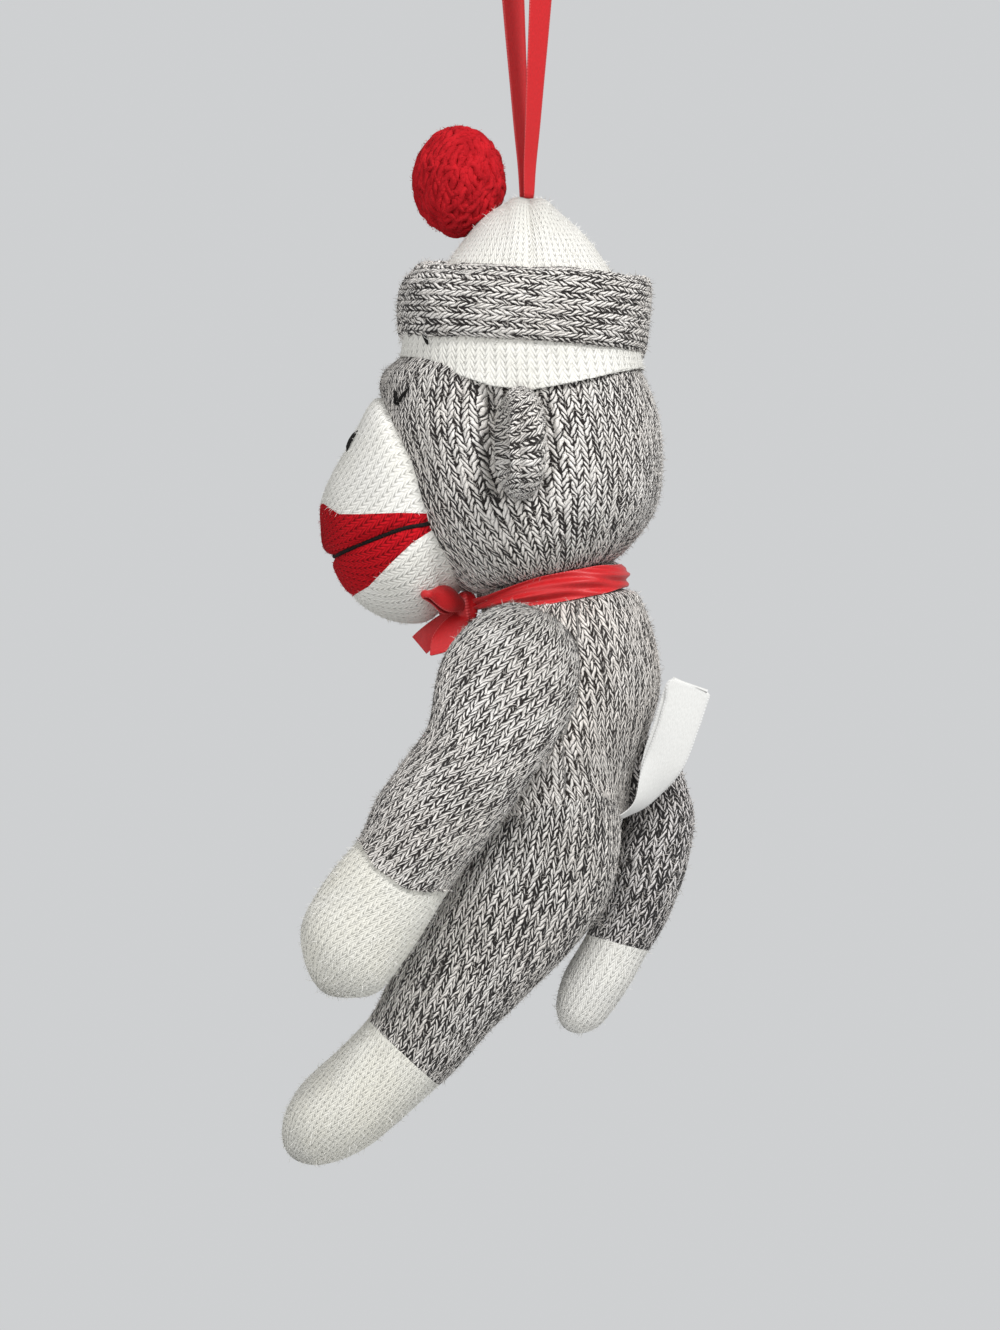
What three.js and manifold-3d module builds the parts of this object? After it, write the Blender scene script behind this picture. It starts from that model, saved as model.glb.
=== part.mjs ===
import * as THREE from "three";
import { mergeVertices } from "three/addons/utils/BufferGeometryUtils.js";
import Module from "manifold-3d";

const wasm = await Module();
wasm.setup();

// A stuffed sock monkey that hangs from a ribbon loop sewn to the top of its hat.
// All lengths are in millimetres. +Z is up, the doll faces -Y and its left hand is at +X.
// The origin is the top of the hanging loop. The doll's own group starts at the top of the hat.

// Driving sizes
const gap = 0.3; // clearance between pieces that touch
const loopHeight = 78; // top of the hat to the top of the hanging loop
const ribbonWidth = 7.5;
const ribbonThickness = 0.8;
const headHeight = 102; // top of the hat to the middle of the neck
const headDepth = 74;
const headWidth = 63;
const capDepth = 66;
const capWidth = 60.5;
const cuffHeight = 19;
const cuffDepth = 66.4;
const cuffWidth = 64.4;
const muzzleLength = 58; // brow to chin along the face seam
const muzzleHeight = 26.2; // how far the muzzle stands out of the face
const muzzleWidth = 46;
const earWidth = 12; // how far the ear stands out of the head
const earDepth = 13.2;
const earHeight = 29.2;
const threadWidth = 1.1;
const threadRise = 0.9; // how far a stitched line stands proud
const pompomWidth = 24.8;
const pompomHeight = 29.6;
const neckDiameter = 35; // the soft neck inside the ribbon
const neckRimDepth = 38.2;
const torsoHeight = 66; // middle of the neck to the seat
const torsoDepth = 58.4;
const torsoWidth = 55;
const armLength = 96.8; // shoulder to the tip of the hand
const armDepth = 35;
const armWidth = 24;
const legLength = 112.5; // hip to the toe
const legDepth = 38.4;
const legWidth = 28.6;
const legSpread = 1.6; // space between the legs
const tailLength = 69; // tail root to its tip
const tailDepth = 20.6;
const tailWidth = 18.6;
const labelLength = 39.7;
const labelWidth = 12.3;
const labelThickness = 0.8;
const bowLoopLength = 15;
const bowTailLength = 14;
const knotWidth = 5.4;

// Angles in degrees, positive towards the doll's front
const neckLean = 11;
const cuffLean = -4.4;
const faceLean = -72.4;
const armLean = -26.6;
const legLean = -35.5;
const labelLean = 27.8;
const noddingDegrees = [-8, 2]; // the torso's furthest turns about the neck, which the head makes room for
const hipForward = 35; // how far each leg swings forward from its hanging place
const seatDegrees = 11; // how far below the level the seat's crease lies behind the hip
const wobbleDegrees = 6; // how far the pompom wobbles each way

// Landmarks in the doll's group
const at = (x, y, z) => new THREE.Vector3(x, y, z);
const neckBack = 0.0784 * headDepth;
const neck = at(0, neckBack, -headHeight);
const shoulder = at(0, neck.y - 0.158 * torsoDepth, neck.z - 0.339 * torsoHeight);
const hip = at(0, neck.y + 0.029 * torsoDepth, neck.z - 0.921 * torsoHeight);
const tailRoot = at(0, neck.y + 0.423 * torsoDepth, neck.z - 0.755 * torsoHeight);
const armInside = 0.29 * torsoWidth; // where the arm's root is sewn to the side of the chest
const legApart = legWidth + legSpread;
const armOutside = legWidth + legSpread; // the arms pass outside the legs

const coarseSides = 12;
const fineSides = 20;
const roundExponent = 2; // an oval's exponent: 2 is an ellipse
const fullExponent = 2.4; // and more is a fuller, squarer one

// Colours and finishes
function finish(colour, roughness) {
  return new THREE.MeshStandardMaterial({ color: colour, roughness, metalness: 0 });
}
const marl = () => finish(0x8a847c, 0.95);
const white = () => finish(0xece8de, 0.95);
const red = () => finish(0xb5121b, 0.95);
const satin = () => finish(0xc4101c, 0.4);
const black = () => finish(0x16130f, 0.8);

// Solids
function solidOf(geometry) {
  geometry.deleteAttribute("normal");
  geometry.deleteAttribute("uv");
  const merged = mergeVertices(geometry, gap / 100);
  const vertProperties = new Float32Array(merged.attributes.position.array);
  const triVerts = new Uint32Array(merged.index.array);
  return new wasm.Manifold(new wasm.Mesh({ numProp: 3, vertProperties, triVerts }));
}

// A cut can leave crumbs far smaller than a stitch; they are dropped.
function withoutCrumbs(solid) {
  const crumb = (gap / 2) ** 3;
  return union(solid.decompose().filter((body) => body.volume() > crumb));
}

function meshOf(name, solid, material) {
  const { numProp, vertProperties, triVerts } = withoutCrumbs(solid).getMesh();
  const places = [];
  for (let i = 0; i < vertProperties.length; i += numProp) {
    places.push(vertProperties[i], vertProperties[i + 1], vertProperties[i + 2]);
  }
  const geometry = new THREE.BufferGeometry();
  geometry.setAttribute("position", new THREE.Float32BufferAttribute(places, 3));
  geometry.setIndex(Array.from(triVerts));
  geometry.computeVertexNormals();
  const mesh = new THREE.Mesh(geometry, material);
  mesh.name = name;
  return mesh;
}

function union(solids) {
  return solids.reduce((whole, solid) => whole.add(solid));
}

function mirrored(solid) {
  return solid.scale([-1, 1, 1]);
}

// A solid turned about the X direction through a point; positive degrees swing what hangs forward.
function swung(solid, pivot, degrees) {
  const there = solid.translate([0, -pivot.y, -pivot.z]).rotate([-degrees, 0, 0]);
  return there.translate([0, pivot.y, pivot.z]);
}

// A closed skin over rings of points; each ring turns from +X to +Y and the rings go away from the start.
function skin(rings, start, end) {
  const sides = rings[0].length;
  const points = [start, ...rings.flat(), end];
  const places = points.flatMap((point) => [point.x, point.y, point.z]);
  const last = points.length - 1;
  const faces = [];
  for (let side = 0; side < sides; side += 1) {
    const next = (side + 1) % sides;
    faces.push(0, 1 + side, 1 + next);
    for (let row = 1; row < rings.length; row += 1) {
      const above = 1 + (row - 1) * sides;
      const below = 1 + row * sides;
      faces.push(above + side, below + side, below + next);
      faces.push(above + side, below + next, above + next);
    }
    const rim = 1 + (rings.length - 1) * sides;
    faces.push(last, rim + next, rim + side);
  }
  const geometry = new THREE.BufferGeometry();
  geometry.setAttribute("position", new THREE.Float32BufferAttribute(places, 3));
  geometry.setIndex(faces);
  return geometry;
}

function middleOf(ring) {
  return ring.reduce((sum, point) => sum.add(point), at(0, 0, 0)).divideScalar(ring.length);
}

// A place inside a form: so far along it, so far towards its back and so far to its side.
function placeIn(form, along, back, side) {
  const lean = THREE.MathUtils.degToRad(form.lean);
  const y = form.origin.y + along * Math.sin(lean) + back * Math.cos(lean);
  const z = form.origin.z - along * Math.cos(lean) + back * Math.sin(lean);
  return at(form.origin.x + side, y, z);
}

function oval(middle, halfDepth, halfWidth, degrees, sides, exponent) {
  const lean = THREE.MathUtils.degToRad(degrees);
  const bulge = (share) => Math.sign(share) * Math.abs(share) ** (2 / exponent);
  return Array.from({ length: sides }, (_, side) => {
    const turn = (2 * Math.PI * side) / sides;
    const back = bulge(Math.sin(turn)) * halfDepth;
    const out = bulge(Math.cos(turn)) * halfWidth;
    const z = middle.z + back * Math.sin(lean);
    return at(middle.x + out, middle.y + back * Math.cos(lean), z);
  });
}

// A stuffed form: rows of shares are [along, back, half depth, half width, side, lean in degrees],
// and its two ends are [along, back, side]. It grows outwards by the given amount.
function stuffed(form, grow = 0) {
  const [first, last] = form.endShares.map(([along]) => along * form.length);
  const stretch = (last - first + 2 * grow) / (last - first);
  const alongOf = (share) => first - grow + (share * form.length - first) * stretch;
  const spineAt = (along, back, side) => {
    return placeIn(form, alongOf(along), back * form.depth, side * form.width);
  };
  const rings = form.rowShares.map(([along, back, halfDepth, halfWidth, side = 0, lean = 0]) => {
    const depth = halfDepth * form.depth + grow;
    const width = halfWidth * form.width + grow;
    const middle = spineAt(along, back, side);
    return oval(middle, depth, width, form.lean + lean, form.sides, form.exponent);
  });
  const [start, end] = form.endShares.map(([along, back, side = 0]) => spineAt(along, back, side));
  return solidOf(skin(rings, start, end));
}

// A block whose side outline, in places inside a form, runs right across the doll.
function acrossBlock(form, outline, halfSpan, middle = 0) {
  const places = outline.map(([along, back]) => placeIn(form, along, back, 0));
  const shape = new THREE.Shape(places.map((place) => new THREE.Vector2(place.y, place.z)));
  const geometry = new THREE.ExtrudeGeometry(shape, { depth: 2 * halfSpan, bevelEnabled: false });
  geometry.translate(0, 0, middle - halfSpan);
  // The outline lies in Y and Z and the depth along X.
  const turned = new THREE.Matrix4().makeBasis(at(0, 1, 0), at(0, 0, 1), at(1, 0, 0));
  geometry.applyMatrix4(turned);
  return solidOf(geometry);
}

function ball(middle, halfWidth, halfDepth, halfHeight, sides) {
  const geometry = new THREE.SphereGeometry(1, sides, sides / 2);
  geometry.rotateX(Math.PI / 2);
  geometry.scale(halfWidth, halfDepth, halfHeight);
  geometry.translate(middle.x, middle.y, middle.z);
  return solidOf(geometry);
}

// A solid of revolution about the X direction through a pivot, from [radius, x] pairs.
function turnedAboutX(pivot, profile, sides) {
  const points = profile.map(([radius, x]) => new THREE.Vector2(radius, x));
  const geometry = new THREE.LatheGeometry(points, sides);
  geometry.rotateZ(-Math.PI / 2);
  geometry.translate(pivot.x, pivot.y, pivot.z);
  return solidOf(geometry);
}

// The head, with the soft neck below it
const head = {
  origin: at(0, 0, 0),
  lean: 0,
  length: headHeight,
  depth: headDepth,
  width: headWidth,
  sides: fineSides,
  exponent: fullExponent,
  rowShares: [
    [0.057, -0.004, 0.108, 0.12],
    [0.097, -0.001, 0.177, 0.2],
    [0.168, -0.005, 0.262, 0.295],
    [0.255, -0.01, 0.341, 0.381],
    [0.335, -0.02, 0.385, 0.428],
    [0.402, -0.028, 0.409, 0.449],
    [0.446, -0.048, 0.457, 0.457],
    [0.5, -0.041, 0.481, 0.467],
    [0.58, -0.026, 0.496, 0.492],
    [0.686, -0.002, 0.484, 0.5],
    [0.784, 0.011, 0.457, 0.489, 0, 2],
    [0.86, 0.022, 0.414, 0.454, 0, 6],
    [0.92, 0.035, 0.352, 0.405, 0, 9],
    [0.962, 0.042, 0.292, 0.35, 0, neckLean],
  ],
  endShares: [
    [0.045, 0],
    [0.98, 0.06],
  ],
};
const face = {
  origin: at(0, -0.401 * headDepth, -0.766 * headHeight),
  lean: faceLean,
  length: muzzleHeight,
  depth: muzzleLength,
  width: muzzleWidth,
  sides: fineSides,
  exponent: fullExponent,
  rowShares: [
    [-0.12, 0.017, 0.488, 0.47],
    [0, 0.017, 0.5, 0.489],
    [0.23, 0.066, 0.49, 0.5],
    [0.477, 0.113, 0.425, 0.463],
    [0.714, 0.128, 0.34, 0.391],
    [0.87, 0.125, 0.254, 0.304],
    [0.962, 0.121, 0.17, 0.185],
  ],
  endShares: [
    [-0.12, 0.017],
    [1, 0.121],
  ],
};
const everything = 3 * headHeight;
const inFront = (start) => [
  [start, -everything],
  [everything, -everything],
  [everything, everything],
  [start, everything],
];
const beforeFace = acrossBlock(face, inFront(-gap), headWidth);
const muzzleSide = acrossBlock(face, inFront(0), headWidth);

// The torso, which starts at the rim round the neck
const rimHalfDepth = neckRimDepth / 2;
const rimHalfWidth = 0.302 * headWidth;
const rimShare = rimHalfDepth / torsoDepth;
const rimWidthShare = rimHalfWidth / torsoWidth;
const torso = {
  origin: neck,
  lean: 0,
  length: torsoHeight,
  depth: torsoDepth,
  width: torsoWidth,
  sides: fineSides,
  exponent: fullExponent,
  rowShares: [
    [0, 0, rimShare, rimWidthShare, 0, neckLean],
    [0.067, 0.014, rimShare, rimWidthShare, 0, neckLean],
    [0.085, 0.012, 0.375, 0.375, 0, neckLean],
    [0.13, 0.005, 0.425, 0.405, 0, 9],
    [0.224, 0.007, 0.459, 0.427, 0, 6],
    [0.376, -0.002, 0.5, 0.447, 0, 3],
    [0.542, -0.024, 0.486, 0.469],
    [0.679, -0.038, 0.447, 0.485],
    [0.815, -0.031, 0.402, 0.5],
    [0.912, -0.004, 0.336, 0.487],
    [0.97, -0.005, 0.24, 0.42],
  ],
  endShares: [
    [0, 0],
    [1, -0.005],
  ],
};

const arm = {
  origin: at(armOutside, shoulder.y, shoulder.z),
  lean: armLean,
  length: armLength,
  depth: armDepth,
  width: armWidth,
  sides: coarseSides,
  exponent: roundExponent,
  rowShares: [
    [-0.165, 0, 0.21, 0.2, -0.12],
    [-0.118, 0, 0.37, 0.36, -0.12],
    [0, 0.008, 0.5, 0.485, -0.1],
    [0.124, 0.02, 0.5, 0.5, 0],
    [0.248, 0.043, 0.42, 0.5, 0.16],
    [0.31, 0.017, 0.426, 0.5, 0.24],
    [0.413, -0.034, 0.423, 0.5, 0.33],
    [0.5, -0.071, 0.406, 0.5, 0.39],
    [0.589, -0.091, 0.383, 0.49, 0.43],
    [0.682, -0.129, 0.4, 0.5, 0.46],
    [0.775, -0.163, 0.406, 0.5, 0.48],
    [0.888, -0.171, 0.371, 0.46, 0.5],
    [0.94, -0.151, 0.291, 0.37, 0.5],
    [0.98, -0.163, 0.151, 0.2, 0.5],
  ],
  endShares: [
    [-0.18, 0, -0.12],
    [1, -0.165, 0.5],
  ],
};

const leg = {
  origin: at(legApart / 2, hip.y, hip.z),
  lean: legLean,
  length: legLength,
  depth: legDepth,
  width: legWidth,
  sides: coarseSides,
  exponent: roundExponent,
  rowShares: [
    [-0.13, 0, 0.19, 0.2],
    [-0.1, 0.01, 0.31, 0.34],
    [-0.055, 0.03, 0.4, 0.43],
    [0, 0.07, 0.45, 0.48],
    [0.071, 0.112, 0.477, 0.49],
    [0.16, 0.135, 0.487, 0.49],
    [0.267, 0.133, 0.461, 0.49, 0.02],
    [0.409, 0.112, 0.401, 0.465, 0.05],
    [0.551, 0.096, 0.365, 0.44, 0.08],
    [0.64, 0.096, 0.326, 0.413, 0.09],
    [0.729, 0.052, 0.307, 0.406, 0.1],
    [0.818, -0.003, 0.31, 0.399, 0.1],
    [0.916, -0.07, 0.266, 0.343, 0.1],
    [0.969, -0.091, 0.169, 0.227, 0.1],
  ],
  endShares: [
    [-0.14, 0],
    [1, -0.104, 0.1],
  ],
};

const tail = {
  origin: tailRoot,
  lean: 0,
  length: tailLength,
  depth: tailDepth,
  width: tailWidth,
  sides: coarseSides,
  exponent: roundExponent,
  rowShares: [
    [-0.12, 0, 0.3, 0.3],
    [-0.065, 0, 0.45, 0.45],
    [0, 0.02, 0.5, 0.5],
    [0.145, 0.2, 0.44, 0.5, 0, -2],
    [0.275, 0.112, 0.485, 0.5, 0, -7],
    [0.413, 0.015, 0.461, 0.48, 0, -15],
    [0.536, -0.141, 0.427, 0.45, 0, -23],
    [0.645, -0.34, 0.388, 0.42, 0, -28],
    [0.768, -0.558, 0.398, 0.42, 0, -29],
    [0.877, -0.762, 0.34, 0.36, 0, -30],
    [0.942, -0.898, 0.218, 0.24, 0, -32],
  ],
  endShares: [
    [-0.15, 0],
    [0.971, -0.961],
  ],
};

// The hat's cap hugs the head, and its hem dips at each side
const cap = {
  origin: at(0, 0, 0),
  lean: 0,
  length: headHeight,
  depth: capDepth,
  width: capWidth,
  sides: fineSides,
  exponent: fullExponent,
  rowShares: [
    [0.012, -0.008, 0.088, 0.1],
    [0.052, -0.008, 0.174, 0.182],
    [0.112, -0.003, 0.258, 0.273],
    [0.161, -0.005, 0.313, 0.331],
    [0.245, -0.011, 0.405, 0.421],
    [0.324, -0.021, 0.461, 0.468],
    [0.392, -0.027, 0.48, 0.489],
    [0.451, -0.024, 0.494, 0.499],
    [0.52, -0.019, 0.511, 0.506],
  ],
  endShares: [
    [0, -0.006],
    [0.52, -0.019],
  ],
};
const hemShares = [
  [0.405, -0.75],
  [0.409, -0.508],
  [0.422, -0.383],
  [0.466, -0.26],
  [0.492, -0.139],
  [0.502, 0.015],
  [0.481, 0.188],
  [0.449, 0.392],
  [0.44, 0.452],
  [0.43, 0.75],
];

const cuff = {
  origin: at(0, -0.011 * capDepth, -0.279 * headHeight),
  lean: cuffLean,
  length: cuffHeight,
  depth: cuffDepth,
  width: cuffWidth,
  sides: fineSides,
  exponent: fullExponent,
  rowShares: [
    [-0.5, 0.036, 0.43, 0.432],
    [-0.4, 0.02, 0.472, 0.47],
    [0, 0, 0.5, 0.5],
    [0.36, 0, 0.49, 0.49],
    [0.5, 0, 0.465, 0.468],
  ],
  endShares: [
    [-0.5, 0.036],
    [0.5, 0],
  ],
};

// The room that each arm sweeps outside the chest and legs, as a dished disc about the shoulder.
// With an inset, its flats lie outside the circles on which the arm's own corners turn.
function armRoom(inset) {
  const inner = armInside - inset;
  const outer = armOutside - inset;
  const spread = inset > 0 ? 1 / Math.cos(Math.PI / fineSides) : 1;
  const dishInner = 0.36 * spread * armDepth;
  const dishOuter = 0.8 * spread * armDepth;
  const far = armOutside + 2 * armWidth;
  const profile = [
    [0, inner],
    [dishInner, inner],
    [dishOuter, outer],
    [armLength * 2, outer],
    [armLength * 2, far],
    [0, far],
  ];
  return turnedAboutX(shoulder, profile, fineSides);
}

// The room below the torso that the legs sweep: their round tops, and all that lies ahead and below,
// with the seat's crease behind.
function legRoom(grow) {
  const radius = 0.4 * legDepth + grow;
  const seat = { origin: hip, lean: 0 };
  const crease = THREE.MathUtils.degToRad(seatDegrees);
  const forward = THREE.MathUtils.degToRad(90 + legLean - hipForward);
  const rounding = 12;
  const outline = [[legLength, legLength]];
  outline.push([legLength * Math.sin(crease) - grow, legLength * Math.cos(crease)]);
  for (let step = 0; step <= rounding; step += 1) {
    const turn = (step / rounding) * (Math.PI / 2 + forward + crease) - crease;
    outline.push([-radius * Math.sin(turn), radius * Math.cos(turn)]);
  }
  const [along, back] = outline.at(-1);
  const ahead = legLength;
  outline.push([along + ahead * Math.sin(forward), back - ahead * Math.cos(forward)]);
  outline.push([legLength, back - ahead]);
  return acrossBlock(seat, outline, torsoWidth);
}

// The neck's soft ball, the torso's upper part and the ribbon round it
const neckRadius = neckDiameter / 2;
const ribbonFrame = { origin: neck, lean: neckLean };

// A short oval drum round the neck's rim, standing so far out of it
function rimDrum(out, halfHeight) {
  const ends = [-halfHeight, halfHeight].map((along) => placeIn(ribbonFrame, along, 0, 0));
  const rings = ends.map((end) => {
    return oval(end, rimHalfDepth + out, rimHalfWidth + out, neckLean, fineSides, fullExponent);
  });
  return solidOf(skin(rings, ends[0], ends[1]));
}

function neckBand(grow) {
  const outside = rimDrum(gap + ribbonThickness + grow, ribbonWidth / 2 + grow);
  return outside.subtract(rimDrum(gap - grow, ribbonWidth));
}

const collarRows = 4; // the rows of the torso that come near the head
const collar = { ...torso, rowShares: torso.rowShares.slice(0, collarRows) };
collar.endShares = [torso.endShares[0], collar.rowShares.at(-1).slice(0, 2)];

// The room that the collar sweeps as the torso nods
const collarRoom = stuffed(collar, gap).add(neckBand(gap));
const noddingRoom = union(noddingDegrees.map((degrees) => swung(collarRoom, neck, degrees)));
const neckBall = (radius) => ball(neck, radius, radius, radius, fineSides);
const headSolid = stuffed(head).subtract(noddingRoom).add(neckBall(neckRadius)).subtract(beforeFace);

// The muzzle: one dome in four zones of colour
const lipTopShares = [
  [-0.12, 0.108],
  [0.195, 0.06],
  [0.542, 0.016],
  [0.775, -0.019],
  [0.836, -0.053],
  [0.893, -0.088],
  [1.3, -0.17],
];
const mouthShares = [
  [-0.12, 0.152],
  [0.225, 0.131],
  [0.393, 0.134],
  [0.687, 0.14],
  [0.935, 0.153],
  [1.3, 0.168],
];
const lipBottomShares = [
  [-0.12, 0.172],
  [0.16, 0.207],
  [0.4, 0.259],
  [0.714, 0.334],
  [0.908, 0.352],
  [1.3, 0.4],
];

// The part of the muzzle between two lines, each given as shares and pushed apart by the clearance
function zoneBetween(upper, lower) {
  const inset = gap / 2;
  const down = upper.map(([along, back]) => [along * muzzleHeight, back * muzzleLength + inset]);
  const up = lower.map(([along, back]) => [along * muzzleHeight, back * muzzleLength - inset]);
  return acrossBlock(face, [...down, ...up.reverse()], headWidth);
}

const browShares = [
  [-0.12, -2],
  [1.3, -2],
];
const chinShares = [
  [-0.12, 2],
  [1.3, 2],
];
const muzzleDome = stuffed(face).intersect(muzzleSide);

// A stitched line along a row of places: a thin layer proud of the surface it lies on
function stitchLayer(form, onto, line, halfSpan, middle) {
  const half = threadWidth / 2;
  const above = line.map(([along, back]) => [along, back - half]);
  const below = line.map(([along, back]) => [along, back + half]);
  const strip = acrossBlock(form, [...above, ...below.reverse()], halfSpan, middle);
  return strip.intersect(onto);
}

const muzzleLayer = stuffed(face, gap + threadRise).subtract(stuffed(face, gap)).intersect(muzzleSide);
const mouthPlaces = mouthShares.map(([along, back]) => {
  return [Math.max(along, 0) * muzzleHeight, back * muzzleLength];
});
const mouthLine = stitchLayer(face, muzzleLayer, mouthPlaces, headWidth, 0);

const nostrilShares = [
  [0.5, -0.355],
  [0.5, -0.29],
];
function nostril() {
  const half = threadWidth / 2;
  const apart = 0.11 * muzzleWidth;
  const top = nostrilShares[0][1] * muzzleLength;
  const bottom = nostrilShares[1][1] * muzzleLength;
  const outline = [
    [0, top],
    [muzzleHeight, top],
    [muzzleHeight, bottom],
    [0, bottom],
  ];
  return acrossBlock(face, outline, half, apart).intersect(muzzleLayer);
}

const headLayer = stuffed(head, gap + threadRise).subtract(stuffed(head, gap));
const eyeShares = [
  [0.494, -0.492],
  [0.526, -0.462],
  [0.496, -0.417],
];
function eye() {
  const half = 1.3 * threadWidth;
  const [front, low, back] = eyeShares.map(([along, side]) => [along * headHeight, side * headDepth]);
  const outline = [
    front,
    [front[0], front[1] + half],
    [low[0] - half, low[1]],
    [back[0], back[1] - half],
    back,
    [low[0] + half / 2, low[1]],
  ];
  return acrossBlock(head, outline, headWidth / 4, headWidth / 4).intersect(headLayer);
}

// The hat
const hemPlaces = hemShares.map(([along, back]) => [along * headHeight, back * capDepth]);
const belowHem = [...hemPlaces, [headHeight, capDepth], [headHeight, -capDepth]];
const underHat = acrossBlock(cap, belowHem, headWidth);
const capSolid = stuffed(cap).subtract(stuffed(head, gap)).subtract(underHat);
const cuffSolid = stuffed(cuff).subtract(stuffed(cap, gap));

// The ears: stuffed flaps, cupped towards the front
function ear() {
  const middle = at(0.505 * headWidth, -0.024 * headDepth, -0.637 * headHeight);
  const flap = ball(middle, earWidth, earDepth / 2, earHeight / 2, coarseSides);
  const cupMiddle = at(middle.x + 0.2 * earWidth, middle.y - 0.42 * earDepth, middle.z);
  const cup = ball(cupMiddle, 0.68 * earWidth, 0.34 * earDepth, 0.36 * earHeight, coarseSides);
  return flap.subtract(cup).subtract(stuffed(head, gap)).subtract(stuffed(cap, gap).subtract(underHat));
}

const pompomMiddle = at(-0.048 * headWidth, -0.243 * headDepth, 0.049 * headHeight);
const pompomHalf = pompomWidth / 2;
const pompomStitch = at(-0.03 * headWidth, -0.19 * headDepth, -0.07 * headHeight);
const wobbles = [-1, 0, 1].map((side) => swung(stuffed(cap, gap), pompomStitch, side * wobbleDegrees));
const pompomRoom = union(wobbles);
const pompomSolid = ball(pompomMiddle, pompomHalf, pompomHalf, pompomHeight / 2, coarseSides).subtract(
  pompomRoom,
);

// The torso, with the neck's cup, the shoulders' dishes, the tail's seat and the legs' room taken out
const neckCup = neckBall(neckRadius + 2 * gap);
const seatHalf = tailWidth / 2 + gap;
const seatRadius = 0.57 * tailDepth + 2 * gap;
// The seat that the tail's root turns in, as shares of its radius and half width
const seatShares = [
  [0, -1],
  [0.75, -1],
  [1, -0.6],
  [1, 0.6],
  [0.75, 1],
  [0, 1],
];
const seatProfile = seatShares.map(([radius, side]) => [radius * seatRadius, side * seatHalf]);
const tailRoom = turnedAboutX(tailRoot, seatProfile, fineSides).add(stuffed(tail, gap));
const torsoRoom = union([neckCup, armRoom(gap), mirrored(armRoom(gap)), tailRoom, legRoom(gap)]);
const torsoSolid = stuffed(torso).subtract(torsoRoom);

// A limb is stuffed knit in two colours, parted at a share of its length.
function limb(form, partingShares, whole) {
  const places = partingShares.map(([along, back]) => [along * form.length, back * form.depth]);
  const far = 2 * form.length;
  const upper = [[-far, places[0][1]], ...places, [-far, places.at(-1)[1]]];
  const lower = [
    [far, places[0][1]],
    ...places.map(([along, back]) => [along + gap, back]),
    [far, places.at(-1)[1]],
  ];
  const side = form.origin.x;
  return {
    upper: whole.intersect(acrossBlock(form, upper, 2 * form.depth, side)),
    lower: whole.intersect(acrossBlock(form, lower, 2 * form.depth, side)),
  };
}

const wristShares = [
  [0.587, -1.2],
  [0.587, -0.48],
  [0.635, -0.27],
  [0.65, -0.01],
  [0.64, 0.1],
  [0.6, 0.3],
  [0.6, 1.2],
];
const ankleShares = [
  [0.637, -1.2],
  [0.637, -0.23],
  [0.665, 0.4],
  [0.665, 1.4],
];
const tailTipShares = [
  [0.55, -2],
  [0.61, -0.7],
  [0.67, 0.05],
  [0.78, 2],
];
const arms = limb(arm, wristShares, stuffed(arm).intersect(armRoom(0)));
const legs = limb(leg, ankleShares, stuffed(leg).intersect(legRoom(0)));
const legsOutside = stuffed(leg, gap).add(mirrored(stuffed(leg, gap)));
const tails = limb(tail, tailTipShares, stuffed(tail).subtract(legsOutside));

// The hanging ribbon: up one strand, round the top and down the other
const loopTurn = THREE.MathUtils.degToRad(30);
// The route of one strand, in shares of the loop's height: how far out and how far up
const loopRouteShares = [
  [0.0141, 0],
  [0.0154, 0.0385],
  [0.0192, 0.1026],
  [0.0333, 0.2051],
  [0.0526, 0.359],
  [0.0756, 0.5385],
  [0.0974, 0.7179],
  [0.1103, 0.8205],
  [0.1154, 0.8846],
  [0.1064, 0.9295],
  [0.0821, 0.9667],
  [0.0436, 0.9885],
  [0, 0.9949],
];
const pinchLength = 0.1 * loopHeight;

function hangingRibbon() {
  const strand = loopRouteShares.map(([out, up]) => [out * loopHeight, up * loopHeight]);
  const down = strand.slice(0, -1).map(([out, up]) => [-out, up]);
  const route = [...strand, ...down.reverse()];
  const rings = route.map(([out, up], index) => {
    const before = route[Math.max(index - 1, 0)];
    const after = route[Math.min(index + 1, route.length - 1)];
    const run = new THREE.Vector2(after[0] - before[0], after[1] - before[1]).normalize();
    const open = THREE.MathUtils.smoothstep(up, 0, pinchLength);
    const halfWidth = THREE.MathUtils.lerp(0.2, 0.5, open) * ribbonWidth;
    const half = ribbonThickness / 2;
    const bevel = 0.25 * ribbonThickness;
    // Eight corners of a flat strip, from one face round to the other
    const corners = [
      [half, halfWidth - bevel],
      [half, -halfWidth + bevel],
      [half - bevel, -halfWidth],
      [bevel - half, -halfWidth],
      [-half, -halfWidth + bevel],
      [-half, halfWidth - bevel],
      [bevel - half, halfWidth],
      [half - bevel, halfWidth],
    ];
    return corners.map(([thick, wide]) => {
      const sideways = out + thick * run.y;
      const height = up + gap - thick * run.x;
      const x = sideways * Math.cos(loopTurn) - wide * Math.sin(loopTurn);
      return at(x, sideways * Math.sin(loopTurn) + wide * Math.cos(loopTurn), height);
    });
  });
  return solidOf(skin(rings, middleOf(rings[0]), middleOf(rings.at(-1))));
}

// The bow: a knot, two folded loops and two cut tails
function ribbonStrip(outline, hole, depth) {
  const shape = new THREE.Shape(outline.map(([x, y]) => new THREE.Vector2(x, y)));
  if (hole) shape.holes.push(new THREE.Path(hole.map(([x, y]) => new THREE.Vector2(x, y))));
  return new THREE.ExtrudeGeometry(shape, { depth, bevelEnabled: false });
}

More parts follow.
